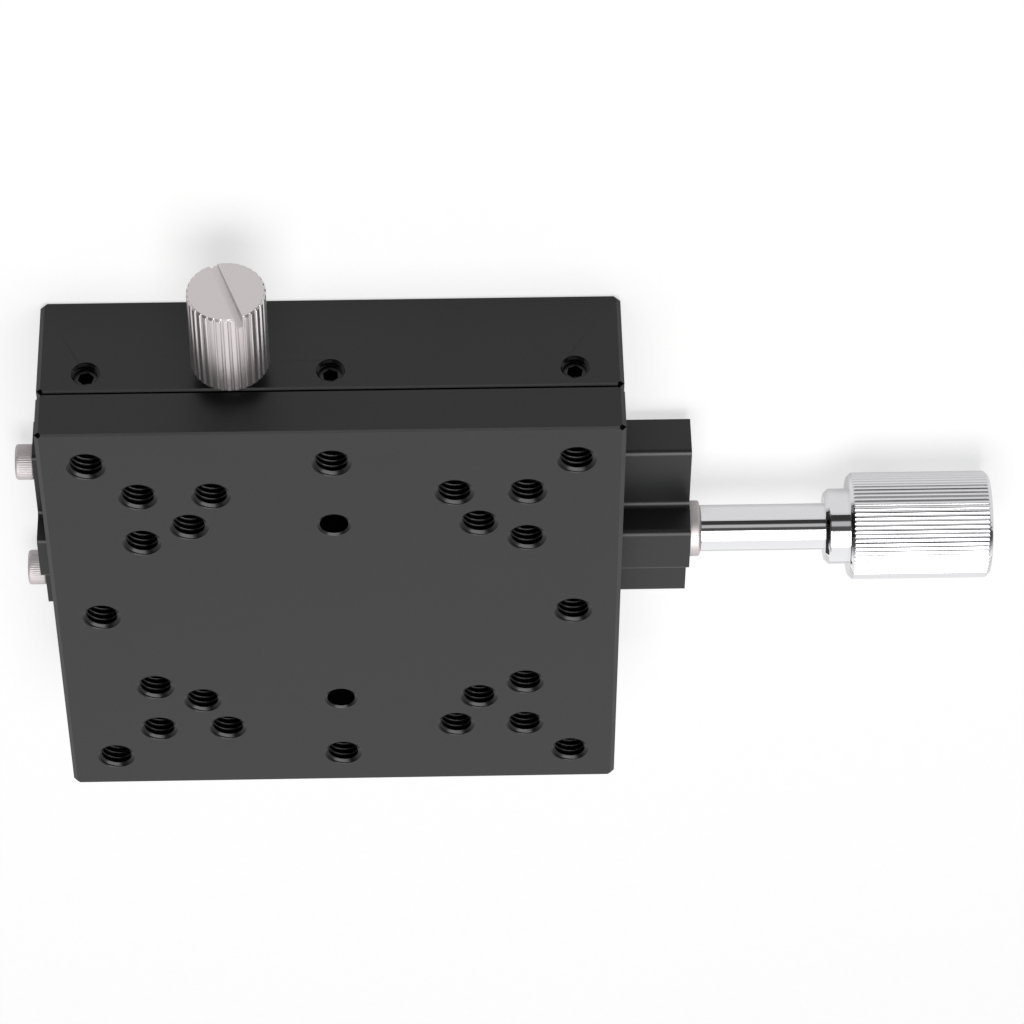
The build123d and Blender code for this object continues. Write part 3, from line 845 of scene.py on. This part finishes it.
@dataclass
class Workshop:
    """The trees and the materials that the assemblies share."""

    cutters: Tree = field(default_factory=ShopTrees.thread_cutters)
    knurl: Tree = field(default_factory=partial(ShopTrees.grooves, Groove.KNURL))
    thread: Tree = field(default_factory=partial(ShopTrees.grooves, Groove.THREAD))
    copier: Tree = field(default_factory=ShopTrees.copies)
    anodised: Material = field(default_factory=BlackAnodised().material)
    # near black with almost no sheen: a painted dark reflection on the blocks' small corner facets
    painted_dark_facets: Material = field(
        default_factory=SmoothAnodised("aluminium_filed_black_anodised", sheen=0.05).material
    )
    tapped: Material = field(default_factory=SmoothAnodised("aluminium_tapped_black_anodised").material)
    oxide: Material = field(default_factory=BlackOxide().material)
    brass: Material = field(default_factory=MilledMetal("brass_milled").material)
    bronze: Material = field(default_factory=SinteredBronze().material)
    tap_oversize: float = 0.04  # mm, by which a tap cuts past the thread's nominal radius
    tap_inset: float = 0.15  # mm, by which its ridges start inside the hole's wall
    tap_steps: int = 32
    tool_overlap: float = 0.1  # mm, by which a cone reaches past both ends of its cut
    cone_faces: int = 64
    key_reach: float = 1.0  # mm of a hex key's cutter that stay outside
    tight: float = math.radians(60.0)  # how far round the screws of a set may end up
    thread_flats: Pair = (0.16, 0.12)  # parts of a rolled thread's pitch, at its crest and root

    def tap(self, work: Mesh, thread: Thread, points: Points, length: float, heading: Heading) -> Mesh:
        """Cut the same thread in several holes.

        Args:
            work: the workpiece, in mm.
            thread: the thread's sizes.
            points: the lower ends of the threads' axes.
            length: how long the threads are.
            heading: where they point.

        Returns:
            The workpiece with its threads.
        """
        inner = thread.tap_radius - self.tap_inset
        ridges = grown(
            points_mesh("thread_points", points),
            self.cutters,
            pitch=thread.pitch,
            turns=length / thread.pitch,
            inner_radius=inner,
            depth=thread.major_radius + self.tap_oversize - inner,
            crest_width=thread.crest_width,
            root_width=thread.groove_width(inner),
            steps=self.tap_steps,
            heading=tuple(heading.turn().to_euler()),
            material=self.anodised,
        )
        return cut(work, ridges)

    def copied(
        self, piece: Mesh, points: Points, heading: Heading, material: Material, seed: int | None = None
    ) -> Mesh:
        """Put the same piece at several points.

        Args:
            piece: the piece along its own Z axis.
            points: where its copies go.
            heading: where their axes point.
            material: their material.
            seed: the seed of their random turns round their axes, where they have any.

        Returns:
            All the copies as one mesh.
        """
        holder = bench(piece)
        copies = grown(
            points_mesh(f"{piece.name}_copies", points),
            self.copier,
            piece=holder,
            heading=tuple(heading.turn().to_euler()),
            turn_spread=0.0 if seed is None else self.tight,
            seed=seed or 0,
            material=material,
        )
        bpy.data.objects.remove(holder)
        return copies

    def countersink(self, work: Mesh, points: Points, radius: float, mouth: float, angle: float) -> Mesh:
        """Open the mouths of several upright holes with the same cone.

        Args:
            work: the workpiece, in mm.
            points: the mouths' centres on the face.
            radius: the holes' radius.
            mouth: the mouths' radius on the face.
            angle: the cone's full angle in degrees.

        Returns:
            The workpiece with its mouths.
        """
        inside, outside = radius - self.tool_overlap, mouth + self.tool_overlap
        bottom, top = [(end - mouth) / math.tan(math.radians(angle / 2)) for end in (inside, outside)]
        outline = [(bottom, 0.0), (bottom, inside), (top, outside), (top, 0.0)]
        cone = turned("countersink", outline, self.cone_faces)
        return cut(work, self.copied(cone, points, Heading.UP, self.anodised))

    @staticmethod
    def grooved(work: Mesh, tree: Tree, radius: float, shares: Pair, span: Pair, **sizes: float) -> Mesh:
        """Cut grooves in a turned mesh.

        Args:
            work: the workpiece along its own Z axis.
            tree: the tree of that kind of groove.
            radius: the crests' radius.
            shares: the parts of the pitch that are flat, at the crest and at the root.
            span: the heights where the grooves start and end.
            **sizes: the depth, the run out, and the ridges or the pitch.

        Returns:
            The workpiece with its grooves.
        """
        crest, root = shares
        start, end = span
        flats = {"crest_share": crest, "root_share": root}
        return grown(work, tree, radius=radius, start=start, end=end, **flats, **sizes)

    def rolled(self, work: Mesh, thread: Thread, start: float, end: float, depth: float) -> Mesh:
        """Roll an outside thread on a turned mesh, between two heights."""
        sizes = {"pitch": thread.pitch, "depth": depth, "run_out": thread.pitch / 2}
        return self.grooved(work, self.thread, thread.major_radius, self.thread_flats, (start, end), **sizes)

    def knurled(
        self, work: Mesh, ridges: int, radius: float, depth: float, flats: Pair, span: Pair, fade: float
    ) -> Mesh:
        """Knurl a turned mesh with straight grooves, between two heights."""
        sizes = {"ridges": float(ridges), "depth": depth, "run_out": fade}
        return self.grooved(work, self.knurl, radius, flats, span, **sizes)

    def key_socket(self, work: Mesh, across_flats: float, mouth: float, depth: float, tip: float) -> Mesh:
        """Sink a hex socket with a pointed floor in a screw's end.

        Args:
            work: the screw along its own Z axis.
            across_flats: the socket's width.
            mouth: the height of the screw's end.
            depth: how deep the socket is at its walls.
            tip: how much deeper its point is.

        Returns:
            The screw with its socket.
        """
        corner, floor, top = across_flats / math.sqrt(3), mouth - depth, mouth + self.key_reach
        outline = [(floor - tip, 0.0), (floor, corner), (top, corner), (top, 0.0)]
        return cut(work, turned("hex_key", outline, 6))


# Sub-assemblies


@dataclass(frozen=True)
class Block:
    """A tapped block, with black faces, small corner facets painted near black as a dark reflection, and the
    walls of its holes.
    """

    node: str
    centres: Outline  # of its holes, in the plane across their axis
    wall_reach: float  # a face this near a hole's axis is its wall or its mouth
    axis: int  # the number of the holes' axis
    flat: float = 0.999  # a face this square to the holes' axis isn't part of a wall
    corner_reach: float = 1.2  # how far from the stage's sides the small corner facets lie
    slant_play: float = 0.06  # how far a facet's normal may be off the blocks' diagonal

    def in_hole(self, mesh: Mesh, face: bpy.types.MeshPolygon) -> bool:
        """Tell whether a face is part of a hole's wall or mouth."""
        across = [number for number in range(3) if number != self.axis]
        spots = [[mesh.vertices[index].co[number] for number in across] for index in face.vertices]
        near = [centre for centre in self.centres if math.dist(spots[0], centre) < self.wall_reach]
        upright = abs(face.normal[self.axis]) <= self.flat
        return bool(near) and upright and all(math.dist(spot, near[0]) < self.wall_reach for spot in spots)

    def at_corner(self, face: bpy.types.MeshPolygon) -> bool:
        """Tell whether a face is one of the small facets at the block's corners, which get the painted dark
        reflection.
        """
        slant = 1 / math.sqrt(3)
        slanted = all(abs(abs(part) - slant) < self.slant_play for part in face.normal)
        return slanted and min(abs(face.center.x), abs(face.center.y)) > STAGE_HALF - self.corner_reach

    def place(self, shop: Workshop, mesh: Mesh) -> None:
        """Mark the block's surfaces, and put it in place of its node."""
        mesh.materials.clear()
        for face in mesh.polygons:
            if self.in_hole(mesh, face):
                face.material_index = TAPPED
            elif self.at_corner(face):
                # the small corner facets get the painted dark reflection
                face.material_index = PAINTED_DARK_FACET
        finishes = (shop.anodised, shop.painted_dark_facets, shop.tapped)
        stand_in(f"{self.node}_tapped", self.node, mesh, self.node, "black_anodised", *finishes)


@dataclass
class Table:
    """The moving plate with its tapped holes, and the nut under it."""

    corner: float = 25.0
    outer: float = 20.0
    inner: float = 15.0
    oblong: float = 12.5
    start: float = 11.78  # where the threads in the plate and over the dovetail begin
    roof_start: float = 10.38  # where those over the slot begin
    lead_out: float = 0.1  # how far the threads' cutters reach past the top
    tapped_mouth: float = 2.05
    key_radius: float = 1.5
    key_mouth: float = 1.77
    mouth_angle: float = 120.0
    wall_reach: float = 2.15

    def holes(self) -> dict[float, list[Pair]]:
        """List the tapped holes by the height where their threads start.

        Returns:
            For each height, the holes' centres.
        """
        corner, outer, inner, oblong = self.corner, self.outer, self.inner, self.oblong
        fours = ((corner, corner), (outer, outer), (oblong, outer), (outer, oblong), (inner, inner))
        plate = [(i * x, j * y) for x, y in fours for i in (-1, 1) for j in (-1, 1)]
        plate += [(0.0, corner), (0.0, -corner)]
        return {self.start: plate, self.roof_start: [(corner, 0.0), (-corner, 0.0)]}

    def build(self, shop: Workshop) -> None:
        """Build the table with its threads, and dress the nut."""
        plate = merged_copy("table")
        plain = [(0.0, self.inner), (0.0, -self.inner)]
        tapped = [centre for centres in self.holes().values() for centre in centres]
        for centres, radius, mouth in (
            (tapped, M4.tap_radius, self.tapped_mouth),
            (plain, self.key_radius, self.key_mouth),
        ):
            mouths = [(x, y, TABLE_TOP) for x, y in centres]
            plate = shop.countersink(plate, mouths, radius, mouth, self.mouth_angle)
        for bottom, centres in self.holes().items():
            points = [(x, y, bottom) for x, y in centres]
            plate = shop.tap(plate, M4, points, TABLE_TOP + self.lead_out - bottom, Heading.UP)
        Block("table", tapped + plain, self.wall_reach, 2).place(shop, plate)
        dress("lead_nut", shop.brass)


@dataclass
class Base:
    """The dovetailed base with the mouths of its clamping screws."""

    mouth_inner: float = 29.25
    mouth_length: float = 0.9
    wall_reach: float = 1.9

    def build(self, shop: Workshop) -> None:
        """Build the base with its threads."""
        points = [(x, self.mouth_inner, CLAMP_HEIGHT) for x in SET_SCREW_X]
        block = shop.tap(merged_copy("base"), M3, points, self.mouth_length, Heading.CLAMP_SIDE)
        Block("base", [(x, CLAMP_HEIGHT) for x in SET_SCREW_X], self.wall_reach, 1).place(shop, block)


@dataclass
class GibClamp:
    """The gib strip and the three set screws behind it."""

    point_radius: float = 0.75
    point_chamfer: float = 0.1
    tip: float = 20.778
    shoulder: float = 22.774
    end: float = 29.2
    end_chamfer: float = 0.3
    thread_depth: float = 0.24
    faces: int = 48
    rows_a_pitch: int = 10
    socket: float = 1.5
    socket_depth: float = 1.6
    drill_tip: float = 0.4
    seed: int = 4

    def screw(self, shop: Workshop) -> Mesh:
        """Turn, thread and broach one set screw.

        Returns:
            The screw along its own Z axis, with its outer end at height 0.
        """
        length, root = self.end - self.tip, self.end - self.shoulder
        neck = M3.major_radius - self.end_chamfer
        outline = [
            (-length, 0.0),
            (-length, self.point_radius - self.point_chamfer),
            (-length + self.point_chamfer, self.point_radius),
            (-root, self.point_radius),
            (-root, neck),
            (-root + self.end_chamfer, M3.major_radius),
            (-self.end_chamfer, M3.major_radius),
            (0.0, neck),
            (0.0, 0.0),
        ]
        rows = spaced(outline, -root, 0.0, M3.pitch / self.rows_a_pitch)
        body = shop.rolled(turned("gib_set_screw", rows, self.faces), M3, -root, 0.0, self.thread_depth)
        return shop.key_socket(body, self.socket, 0.0, self.socket_depth, self.drill_tip)

    def build(self, shop: Workshop) -> None:
        """Build the set screws, and dress the gib strip."""
        points = [(x, self.end, CLAMP_HEIGHT) for x in SET_SCREW_X]
        screws = shop.copied(self.screw(shop), points, Heading.CLAMP_SIDE, shop.oxide, self.seed)
        stand_in("set_screws_threaded", "gib_set_screws", screws, "base", "black_oxide_steel", shop.oxide)
        dress("gib_strip", shop.brass)


@dataclass
class CapScrew:
    """A set of small cap screws with knurled heads and hex sockets."""

    node: str
    body: str  # that they ride on
    length: float
    seed: int  # of their random turns
    end_chamfer: float = 0.15
    head_radius: float = 1.9
    head_height: float = 2.0
    head_round: float = 0.3
    shank: float = 0.6  # plain length under the head
    thread_depth: float = 0.18
    rows_a_pitch: int = 6
    knurl_ridges: int = 46
    knurl_depth: float = 0.035
    knurl_flats: Pair = (0.3, 0.1)
    knurl_margin: float = 0.15  # from the seat; twice that from the top
    faces_a_ridge: int = 4
    knurl_rows: float = 0.35  # mm between the rows of faces
    round_steps: int = 4
    socket: float = 1.5
    socket_depth: float = 1.0
    drill_tip: float = 0.3

    def mesh(self, shop: Workshop) -> Mesh:
        """Turn, thread, knurl and broach the screw.

        Returns:
            The screw along its own Z axis, with its head's seat at height 0.
        """
        corners = [
            (-self.length, 0.0),
            (-self.length, M2.major_radius - self.end_chamfer),
            (-self.length + self.end_chamfer, M2.major_radius),
            (0.0, M2.major_radius),
            (0.0, self.head_radius, self.head_round),
            (self.head_height, self.head_radius, self.head_round),
            (self.head_height, 0.0),
        ]
        rows = spaced(rounded(corners, self.round_steps), -self.length, 0.0, M2.pitch / self.rows_a_pitch)
        rows = spaced(rows, 0.0, self.head_height, self.knurl_rows)
        body = turned("cap_screw", rows, self.knurl_ridges * self.faces_a_ridge)
        body = shop.rolled(body, M2, -self.length, -self.shank, self.thread_depth)
        ridges, margin = self.knurl_ridges, self.knurl_margin
        span = (margin, self.head_height - 2 * margin)
        body = shop.knurled(body, ridges, self.head_radius, self.knurl_depth, self.knurl_flats, span, margin)
        return shop.key_socket(body, self.socket, self.head_height, self.socket_depth, self.drill_tip)

    def fasten(self, shop: Workshop, points: Points, heading: Heading, material: Material) -> None:
        """Build the screws in place of their node."""
        screws = shop.copied(self.mesh(shop), points, heading, material, self.seed)
        stand_in(f"{self.node}_knurled", self.node, screws, self.body, "stainless", material)


@dataclass
class EndBearings:
    """The bearing block, the rear plate, their screws, bushes and thrust washers."""

    block_face: float = 37.8
    block_bore: float = 2.3
    rear_face: float = -32.0
    washer_radius: float = 3.0
    washer_bore: float = 1.77
    washer_end: float = 38.9
    washer_round: float = 0.25
    washer_edge: float = 0.06
    washer_faces: int = 96
    nut_seat: float = 8.8
    nut_x: float = 5.5
    nut_y: float = 5.4

    def washer(self) -> Mesh:
        """Turn the outer thrust washer along its own Z axis, from height 0."""
        thickness = self.washer_end - self.block_face
        corners = [
            (0.0, self.washer_bore, self.washer_edge),
            (0.0, self.washer_radius, self.washer_edge),
            (thickness, self.washer_radius, self.washer_round),
            (thickness, self.washer_bore, self.washer_edge),
        ]
        return turned("outer_thrust_washer", rounded(corners), self.washer_faces, closed=True)

    def build(self, shop: Workshop) -> None:
        """Build what is at the two ends."""
        for node in ("bearing_block", "rear_end_plate"):
            dress(node, shop.anodised)
        for node in ("front_bush", "rear_bush", "inner_thrust_washer"):
            dress(node, shop.bronze)
        middle = (0.0, 0.0, END_SCREW_HEIGHT)
        steel = TurnedMetal("stainless_turned_end_screws", centre=middle, satin=(0.6, 0.7)).material()
        rear, front = [
            [(seat, side * END_SCREW_HALF_PITCH, END_SCREW_HEIGHT) for side in (-1, 1)]
            for seat in (self.rear_face, self.block_face - self.block_bore)
        ]
        under = [(x * self.nut_x, y * self.nut_y, self.nut_seat) for x in (-1, 1) for y in (-1, 1)]
        sets = (
            ("rear_plate_screws", "base", 6.0, rear, Heading.REAR_END),
            ("bearing_block_screws", "base", 10.0, front, Heading.KNOB_END),
            ("lead_nut_screws", "table", 6.0, under, Heading.DOWN),
        )
        for seed, (node, body, length, points, heading) in enumerate(sets, start=1):
            CapScrew(node, body, length, seed).fasten(shop, points, heading, steel)
        tones = {"light": "#d6cfd0", "dark": "#c2babb"}
        ring_steel = TurnedMetal("stainless_turned_washer", satin=(0.5, 0.6), **tones).material()
        ring = in_row(self.washer(), Heading.KNOB_END, (self.block_face, 0.0, SCREW_HEIGHT))
        stand_in("thrust_washer_turned", "outer_thrust_washer", ring, "base", "stainless", ring_steel)


@dataclass
class Drive:
    """The lead screw and the knob that turns it."""

    rear_end: float = -31.8
    rear_journal: float = 1.5
    thread_start: float = -29.98
    thread_radius: float = 2.5
    lead: float = 1.0
    thread_depth: float = 0.5
    thread_gap: float = 1.2  # between the thread's end and the shoulder
    rows_a_lead: int = 12
    screw_faces: int = 44
    screw_edge: float = 0.2
    screw_round_steps: int = 3
    shoulder_start: float = 28.58
    shoulder_end: float = 29.48
    shoulder_radius: float = 3.5
    journal: float = 1.75
    tail: float = 1.5
    tail_end: float = 62.45

    neck_radius: float = 2.5
    neck_round: float = 0.15
    collar_start: float = 52.3
    collar_radius: float = 4.05
    collar_cone: float = 0.5
    grip_start: float = 54.85
    grip_radius: float = 5.75
    grip_cone: float = 0.47
    edge_round: float = 0.3
    round_steps: int = 10
    grip_end: float = 70.1
    bore: float = 1.52
    bore_round: float = 0.05
    bore_end: float = 62.55
    knurl_ridges: int = 72
    knurl_depth: float = 0.09
    knurl_flats: Pair = (0.3, 0.0)
    knurl_margin: float = 0.1
    faces_a_ridge: int = 10
    grub_x: float = 58.95
    grub_hole: float = 1.27
    grub_mouth: Pair = (-0.35, 0.5)  # a 45 degree cone's ends, from the knob's side
    grub_faces: int = 64

    def screw(self, shop: Workshop) -> Mesh:
        """Turn the lead screw and roll its thread.

        Returns:
            The screw in the row frame.
        """
        edge = self.screw_edge
        corners = [
            (self.rear_end, 0.0),
            (self.rear_end, self.rear_journal, edge),
            (self.thread_start, self.rear_journal),
            (self.thread_start, self.thread_radius, edge),
            (self.shoulder_start, self.thread_radius),
            (self.shoulder_start, self.shoulder_radius, edge / 2),
            (self.shoulder_end, self.shoulder_radius, edge / 2),
            (self.shoulder_end, self.journal),
            (NECK_START, self.journal, edge / 2),
            (NECK_START, self.tail),
            (self.tail_end, self.tail, edge),
            (self.tail_end, 0.0),
        ]
        rows = rounded(corners, self.screw_round_steps)
        rows = spaced(rows, self.thread_start, self.shoulder_start, self.lead / self.rows_a_lead)
        body = turned("lead_screw", rows, self.screw_faces)
        thread = Thread(self.lead, self.thread_radius, self.thread_radius)
        thread_end = self.shoulder_start - self.thread_gap
        body = shop.rolled(body, thread, self.thread_start, thread_end, self.thread_depth)
        return in_row(body, Heading.KNOB_END, (0.0, 0.0, SCREW_HEIGHT))

    def cone(self, face: float, radius: float, size: float) -> list[tuple[float, ...]]:
        """Lay out a short rounded cone at an edge, from the end face to the side."""
        return [(face, radius - abs(size), self.edge_round), (face + size, radius, self.edge_round)]

    def knob(self, shop: Workshop) -> Mesh:
        """Turn the knob with its neck and collar, knurl it and drill its grub hole.

        Returns:
            The knob in the row frame.
        """
        corners = [
            (self.bore_end, 0.0),
            (self.bore_end, self.bore),
            (NECK_START, self.bore, self.bore_round),
            (NECK_START, self.neck_radius, self.neck_round),
            (self.collar_start, self.neck_radius),
            *self.cone(self.collar_start, self.collar_radius, self.collar_cone),
            (self.grip_start, self.collar_radius),
            *self.cone(self.grip_start, self.grip_radius, self.grip_cone),
            *reversed(self.cone(self.grip_end, self.grip_radius, -self.grip_cone)),
            (self.grip_end, 0.0),
        ]
        ridges, margin = self.knurl_ridges, self.knurl_margin
        body = turned("travel_knob", rounded(corners, self.round_steps), ridges * self.faces_a_ridge)
        span = (self.grip_start + margin, self.grip_end - margin)
        body = shop.knurled(body, ridges, self.grip_radius, self.knurl_depth, self.knurl_flats, span, margin)
        body = in_row(body, Heading.KNOB_END, (0.0, 0.0, SCREW_HEIGHT))
        inner, outer = self.grub_mouth
        drill = [
            (-self.grip_radius, 0.0),
            (-self.grip_radius, self.grub_hole),
            (inner, self.grub_hole),
            (outer, self.grub_hole + outer - inner),
            (outer, 0.0),
        ]
        side = (self.grub_x, 0.0, SCREW_HEIGHT - self.grip_radius)
        return cut(body, in_row(turned("grub_drill", drill, self.grub_faces), Heading.DOWN, side))

    def build(self, shop: Workshop) -> None:
        """Build the screw and the knob."""
        tones = {"light": "#cfd0d3", "dark": "#a9abaf"}
        steel = TurnedMetal("steel_thread_rolled", satin=(0.18, 0.3), **tones).material()
        stand_in("lead_screw_threaded", "lead_screw", self.screw(shop), "lead_screw", "ground_steel", steel)
        chrome = ChromePlate().material()
        stand_in("travel_knob_knurled", "travel_knob", self.knob(shop), "lead_screw", "chrome_plate", chrome)
        dress("knob_grub_screw", shop.oxide)


@dataclass
class Lock:
    """The thumb screw in the base's side, and the pad on its tip."""

    x: float = -10.15
    head_start: float = 31.5
    head_end: float = 42.3
    head_radius: float = 4.0
    head_chamfer: float = 0.2
    ridges: int = 33
    faces_a_ridge: int = 12
    groove_depth: float = 0.2
    groove_flats: Pair = (0.55, 0.1)
    groove_fade: float = 0.1
    chamfer_rows: Pair = (0.04, 0.05)  # mm between the rows at the seat and at the end
    slot_width: float = 0.9
    slot_depths: Pair = (0.4, 1.3)  # the saw ran out shallow at the lower end
    slot_tip: float = 0.05  # how much lower its floor is in the middle
    slot_turn: float = 20.0  # from upright
    saw_height: float = 2.0
    saw_length: float = 12.0
    tip: float = 23.778
    tip_chamfer: float = 0.3
    pin_radius: float = 0.6
    pin_length: float = 1.0
    pin_chamfer: float = 0.1
    shank: float = 0.4  # plain length under the head
    thread_depth: float = 0.24
    rows_a_pitch: int = 10

    def slot_saw(self) -> Mesh:
        """Shape the cutter of the driver's slot, along the screw's own axes."""
        shallow, deep = self.slot_depths
        slope = math.atan2(deep - shallow, 2 * self.head_radius)
        corner = math.sqrt(0.5)  # of a square with a side of 1
        outline = [(-self.slot_tip, 0.0), (0.0, corner), (self.saw_height, corner), (self.saw_height, 0.0)]
        saw = turned("driver_slot", outline, 4)
        for move in (
            Matrix.Rotation(math.radians(45.0), 4, "Z"),
            Matrix.Diagonal((self.saw_length, self.slot_width, 1.0, 1.0)),
            Matrix.Rotation(slope, 4, "Y"),
            Matrix.Translation((0.0, 0.0, self.head_end - (shallow + deep) / 2)),
            Matrix.Rotation(math.radians(self.slot_turn), 4, "Z"),
        ):
            saw.transform(move)
        return saw

    def screw(self, shop: Workshop) -> Mesh:
        """Turn, thread, ridge and slot the thumb screw.

        Returns:
            The screw in the row frame.
        """
        pin_end, face = self.tip - self.pin_length, self.head_radius - self.head_chamfer
        seat, crown = self.head_start + self.head_chamfer, self.head_end - self.head_chamfer
        outline = [
            (pin_end, 0.0),
            (pin_end, self.pin_radius - self.pin_chamfer),
            (pin_end + self.pin_chamfer, self.pin_radius),
            (self.tip, self.pin_radius),
            (self.tip, M3.major_radius - self.tip_chamfer),
            (self.tip + self.tip_chamfer, M3.major_radius),
            (self.head_start, M3.major_radius),
            (self.head_start, face),
            (seat, self.head_radius),
            (crown, self.head_radius),
            (self.head_end, face),
            (self.head_end, 0.0),
        ]
        at_seat, at_end = self.chamfer_rows
        rows = spaced(outline, self.tip, self.head_start, M3.pitch / self.rows_a_pitch)
        rows = spaced(spaced(rows, self.head_start, seat, at_seat), crown, self.head_end, at_end)
        body = turned("lock_thumb_screw", rows, self.ridges * self.faces_a_ridge)
        body = shop.rolled(body, M3, self.tip, self.head_start - self.shank, self.thread_depth)
        span, flats = (self.head_start, self.head_end), self.groove_flats
        depth, fade = self.groove_depth, self.groove_fade
        body = shop.knurled(body, self.ridges, self.head_radius, depth, flats, span, fade)
        return in_row(cut(body, self.slot_saw()), Heading.CLAMP_SIDE, (self.x, 0.0, CLAMP_HEIGHT))

    def build(self, shop: Workshop) -> None:
        """Build the thumb screw, and dress its pad."""
        steel = TurnedMetal(
            "stainless_turned_thumb_screw",
            light="#dfd9da",
            dark="#dbd4d5",
            heading=Heading.CLAMP_SIDE,
            centre=(self.x, 0.0, CLAMP_HEIGHT),
            satin=(0.32, 0.38),
            ring_mm=0.3,
            relief_mm=0.0001,
        ).material()
        body = self.screw(shop)
        stand_in("lock_thumb_screw_ridged", "lock_thumb_screw", body, "lock_screw", "stainless", steel)
        dress("lock_pad", shop.brass)


# Studio


@dataclass
class Studio:
    """The floor, the light and the camera, none of it part of the object."""

    floor_half: float = 3.0
    floor_level: float = -0.00005  # just clear of the base's underside, which lies at 0
    lens: float = 160.73
    sensor: float = 36.0
    clip: Pair = (0.01, 20.0)
    camera_spot: Point = (0.009953, 0.383562, 0.315729)
    camera_right: Point = (0.99973, 0.00469, 0.02268)
    camera_up: Point = (0.01465, 0.63030, -0.77621)
    lamp_spot: Point = (0.02, 0.094, 0.593)
    lamp_size: Pair = (0.42, 0.534)
    lamp_watts: float = 3.5

    # Bright and dark bands of the room over the object, from the horizon behind the camera
    # (0 degrees) over the top to the horizon opposite (180), as a mirror on the object sees them.
    bands: Outline = (
        (0.0, 0.75),
        (3.0, 0.75),
        (5.0, 0.035),
        (23.0, 0.045),
        (27.0, 0.5),
        (38.0, 0.5),
        (41.0, 0.09),
        (53.0, 0.07),
        (58.0, 0.95),
        (180.0, 1.0),
    )
    beside: Pair = (0.62, 0.74)  # where the bands end to each side, as sideways parts
    behind: Pair = (-0.6, -0.3)  # where the pale backdrop ends at the sides
    pale: float = 1.0
    side: float = 0.08
    gap: Pair = (-0.55, -0.17)  # the dark gap beside the softbox, as sideways parts
    gap_edge: float = 0.03
    gap_top: float = 128.0
    gap_light: float = 0.05
    fill: float = 0.35  # how much of the room's light falls on surfaces that don't mirror it

    def floor(self) -> None:
        """Lay the floor under the object."""
        mesh = bpy.data.meshes.new("studio_floor")
        half = self.floor_half
        square = ((-half, -half), (half, -half), (half, half), (-half, half))
        mesh.from_pydata([(x, y, self.floor_level) for x, y in square], [], [(0, 1, 2, 3)])
        mesh.materials.append(PaleFloor().material())
        sheet = bpy.data.objects.new("studio_floor", mesh)
        bpy.context.scene.collection.objects.link(sheet)

    def room(self) -> None:
        """Light the room: pale all round, with the dark zone round the camera."""
        world = bpy.data.worlds.new("studio_room")
        world.use_nodes = True
        tree = world.node_tree
        tree.nodes.clear()
        x, y, z = add(tree, SPLIT, {0: add(tree, "ShaderNodeTexCoord")}).outputs
        angle = add(tree, MATH, {0: z, 1: y}, operation="ARCTAN2")
        height = add(tree, MATH, {0: angle, 1: math.pi}, operation="DIVIDE")
        ramp = add(tree, "ShaderNodeValToRGB", {0: height})
        stops = ramp.color_ramp.elements
        for number, (degrees, strength) in enumerate(self.bands):
            stop = stops[number] if number < 1 else stops.new(degrees / 180.0)
            stop.position = degrees / 180.0
            stop.color = (strength, strength, strength, 1.0)
        stops.remove(stops[-1])
        sideways = add(tree, MATH, {0: x}, operation="ABSOLUTE")
        (far, near), edge = self.gap, self.gap_edge
        beside, behind, past_far, past_near = [
            add(tree, RANGE, {"Value": value, **span})
            for value, span in (
                (sideways, ends(*self.beside)),
                (y, ends(*self.behind, self.pale, self.side)),
                (x, ends(far - edge, far)),
                (x, ends(near, near + edge, 1.0, 0.0)),
            )
        ]
        under_top = add(tree, MATH, {0: height, 1: self.gap_top / 180.0}, operation="LESS_THAN")
        across = add(tree, MATH, {0: past_far, 1: past_near}, operation="MULTIPLY")
        gap = add(tree, MATH, {0: across, 1: under_top}, operation="MULTIPLY")
        seen = add(tree, "ShaderNodeLightPath").outputs
        colour = ramp.outputs["Color"]
        for share, other in (
            (beside, behind),
            (gap, (self.gap_light,) * 3 + (1.0,)),
            (seen["Is Camera Ray"], WHITE),
        ):
            colour = add(tree, MIX, {"Factor": share, 6: colour, 7: other}, data_type="RGBA").outputs[2]
        strength = add(tree, RANGE, {"Value": seen["Is Diffuse Ray"], **ends(0.0, 1.0, 1.0, self.fill)})
        glow = add(tree, "ShaderNodeBackground", {"Color": colour, "Strength": strength})
        add(tree, "ShaderNodeOutputWorld", {"Surface": glow})
        world.cycles.sampling_method = "NONE"
        bpy.context.scene.world = world

    def lamp(self) -> None:
        """Hang the softbox over the object."""
        light = bpy.data.lights.new("softbox", "AREA")
        light.shape = "RECTANGLE"
        light.size, light.size_y = self.lamp_size
        light.energy = self.lamp_watts
        softbox = bpy.data.objects.new("softbox", light)
        spot = Vector(self.lamp_spot)
        softbox.matrix_world = Matrix.Translation(spot) @ spot.to_track_quat("Z", "Y").to_matrix().to_4x4()
        bpy.context.scene.collection.objects.link(softbox)

    def camera(self) -> None:
        """Stand the camera where the photograph was taken from."""
        lens = bpy.data.cameras.new("camera")
        lens.lens = self.lens
        lens.sensor_width = self.sensor
        lens.clip_start, lens.clip_end = self.clip
        right, up = Vector(self.camera_right), Vector(self.camera_up)
        turn = Matrix((right, up, right.cross(up))).transposed()
        camera = bpy.data.objects.new("camera", lens)
        camera.matrix_world = Matrix.Translation(self.camera_spot) @ turn.to_4x4()
        bpy.context.scene.collection.objects.link(camera)
        bpy.context.scene.camera = camera

    def build(self) -> None:
        """Set up the studio."""
        self.floor()
        self.room()
        self.lamp()
        self.camera()
        bpy.context.scene.view_settings.view_transform = "Standard"
        log.info("studio: floor, room, softbox and camera")


def main() -> None:
    """Build the studio and the sub-assemblies."""
    logging.basicConfig(level=logging.INFO, format="%(message)s")
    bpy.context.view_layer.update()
    Studio().build()
    shop = Workshop()
    for assembly in (Base(), Table(), GibClamp(), EndBearings(), Drive(), Lock()):
        assembly.build(shop)


if __name__ == "__main__":
    main()
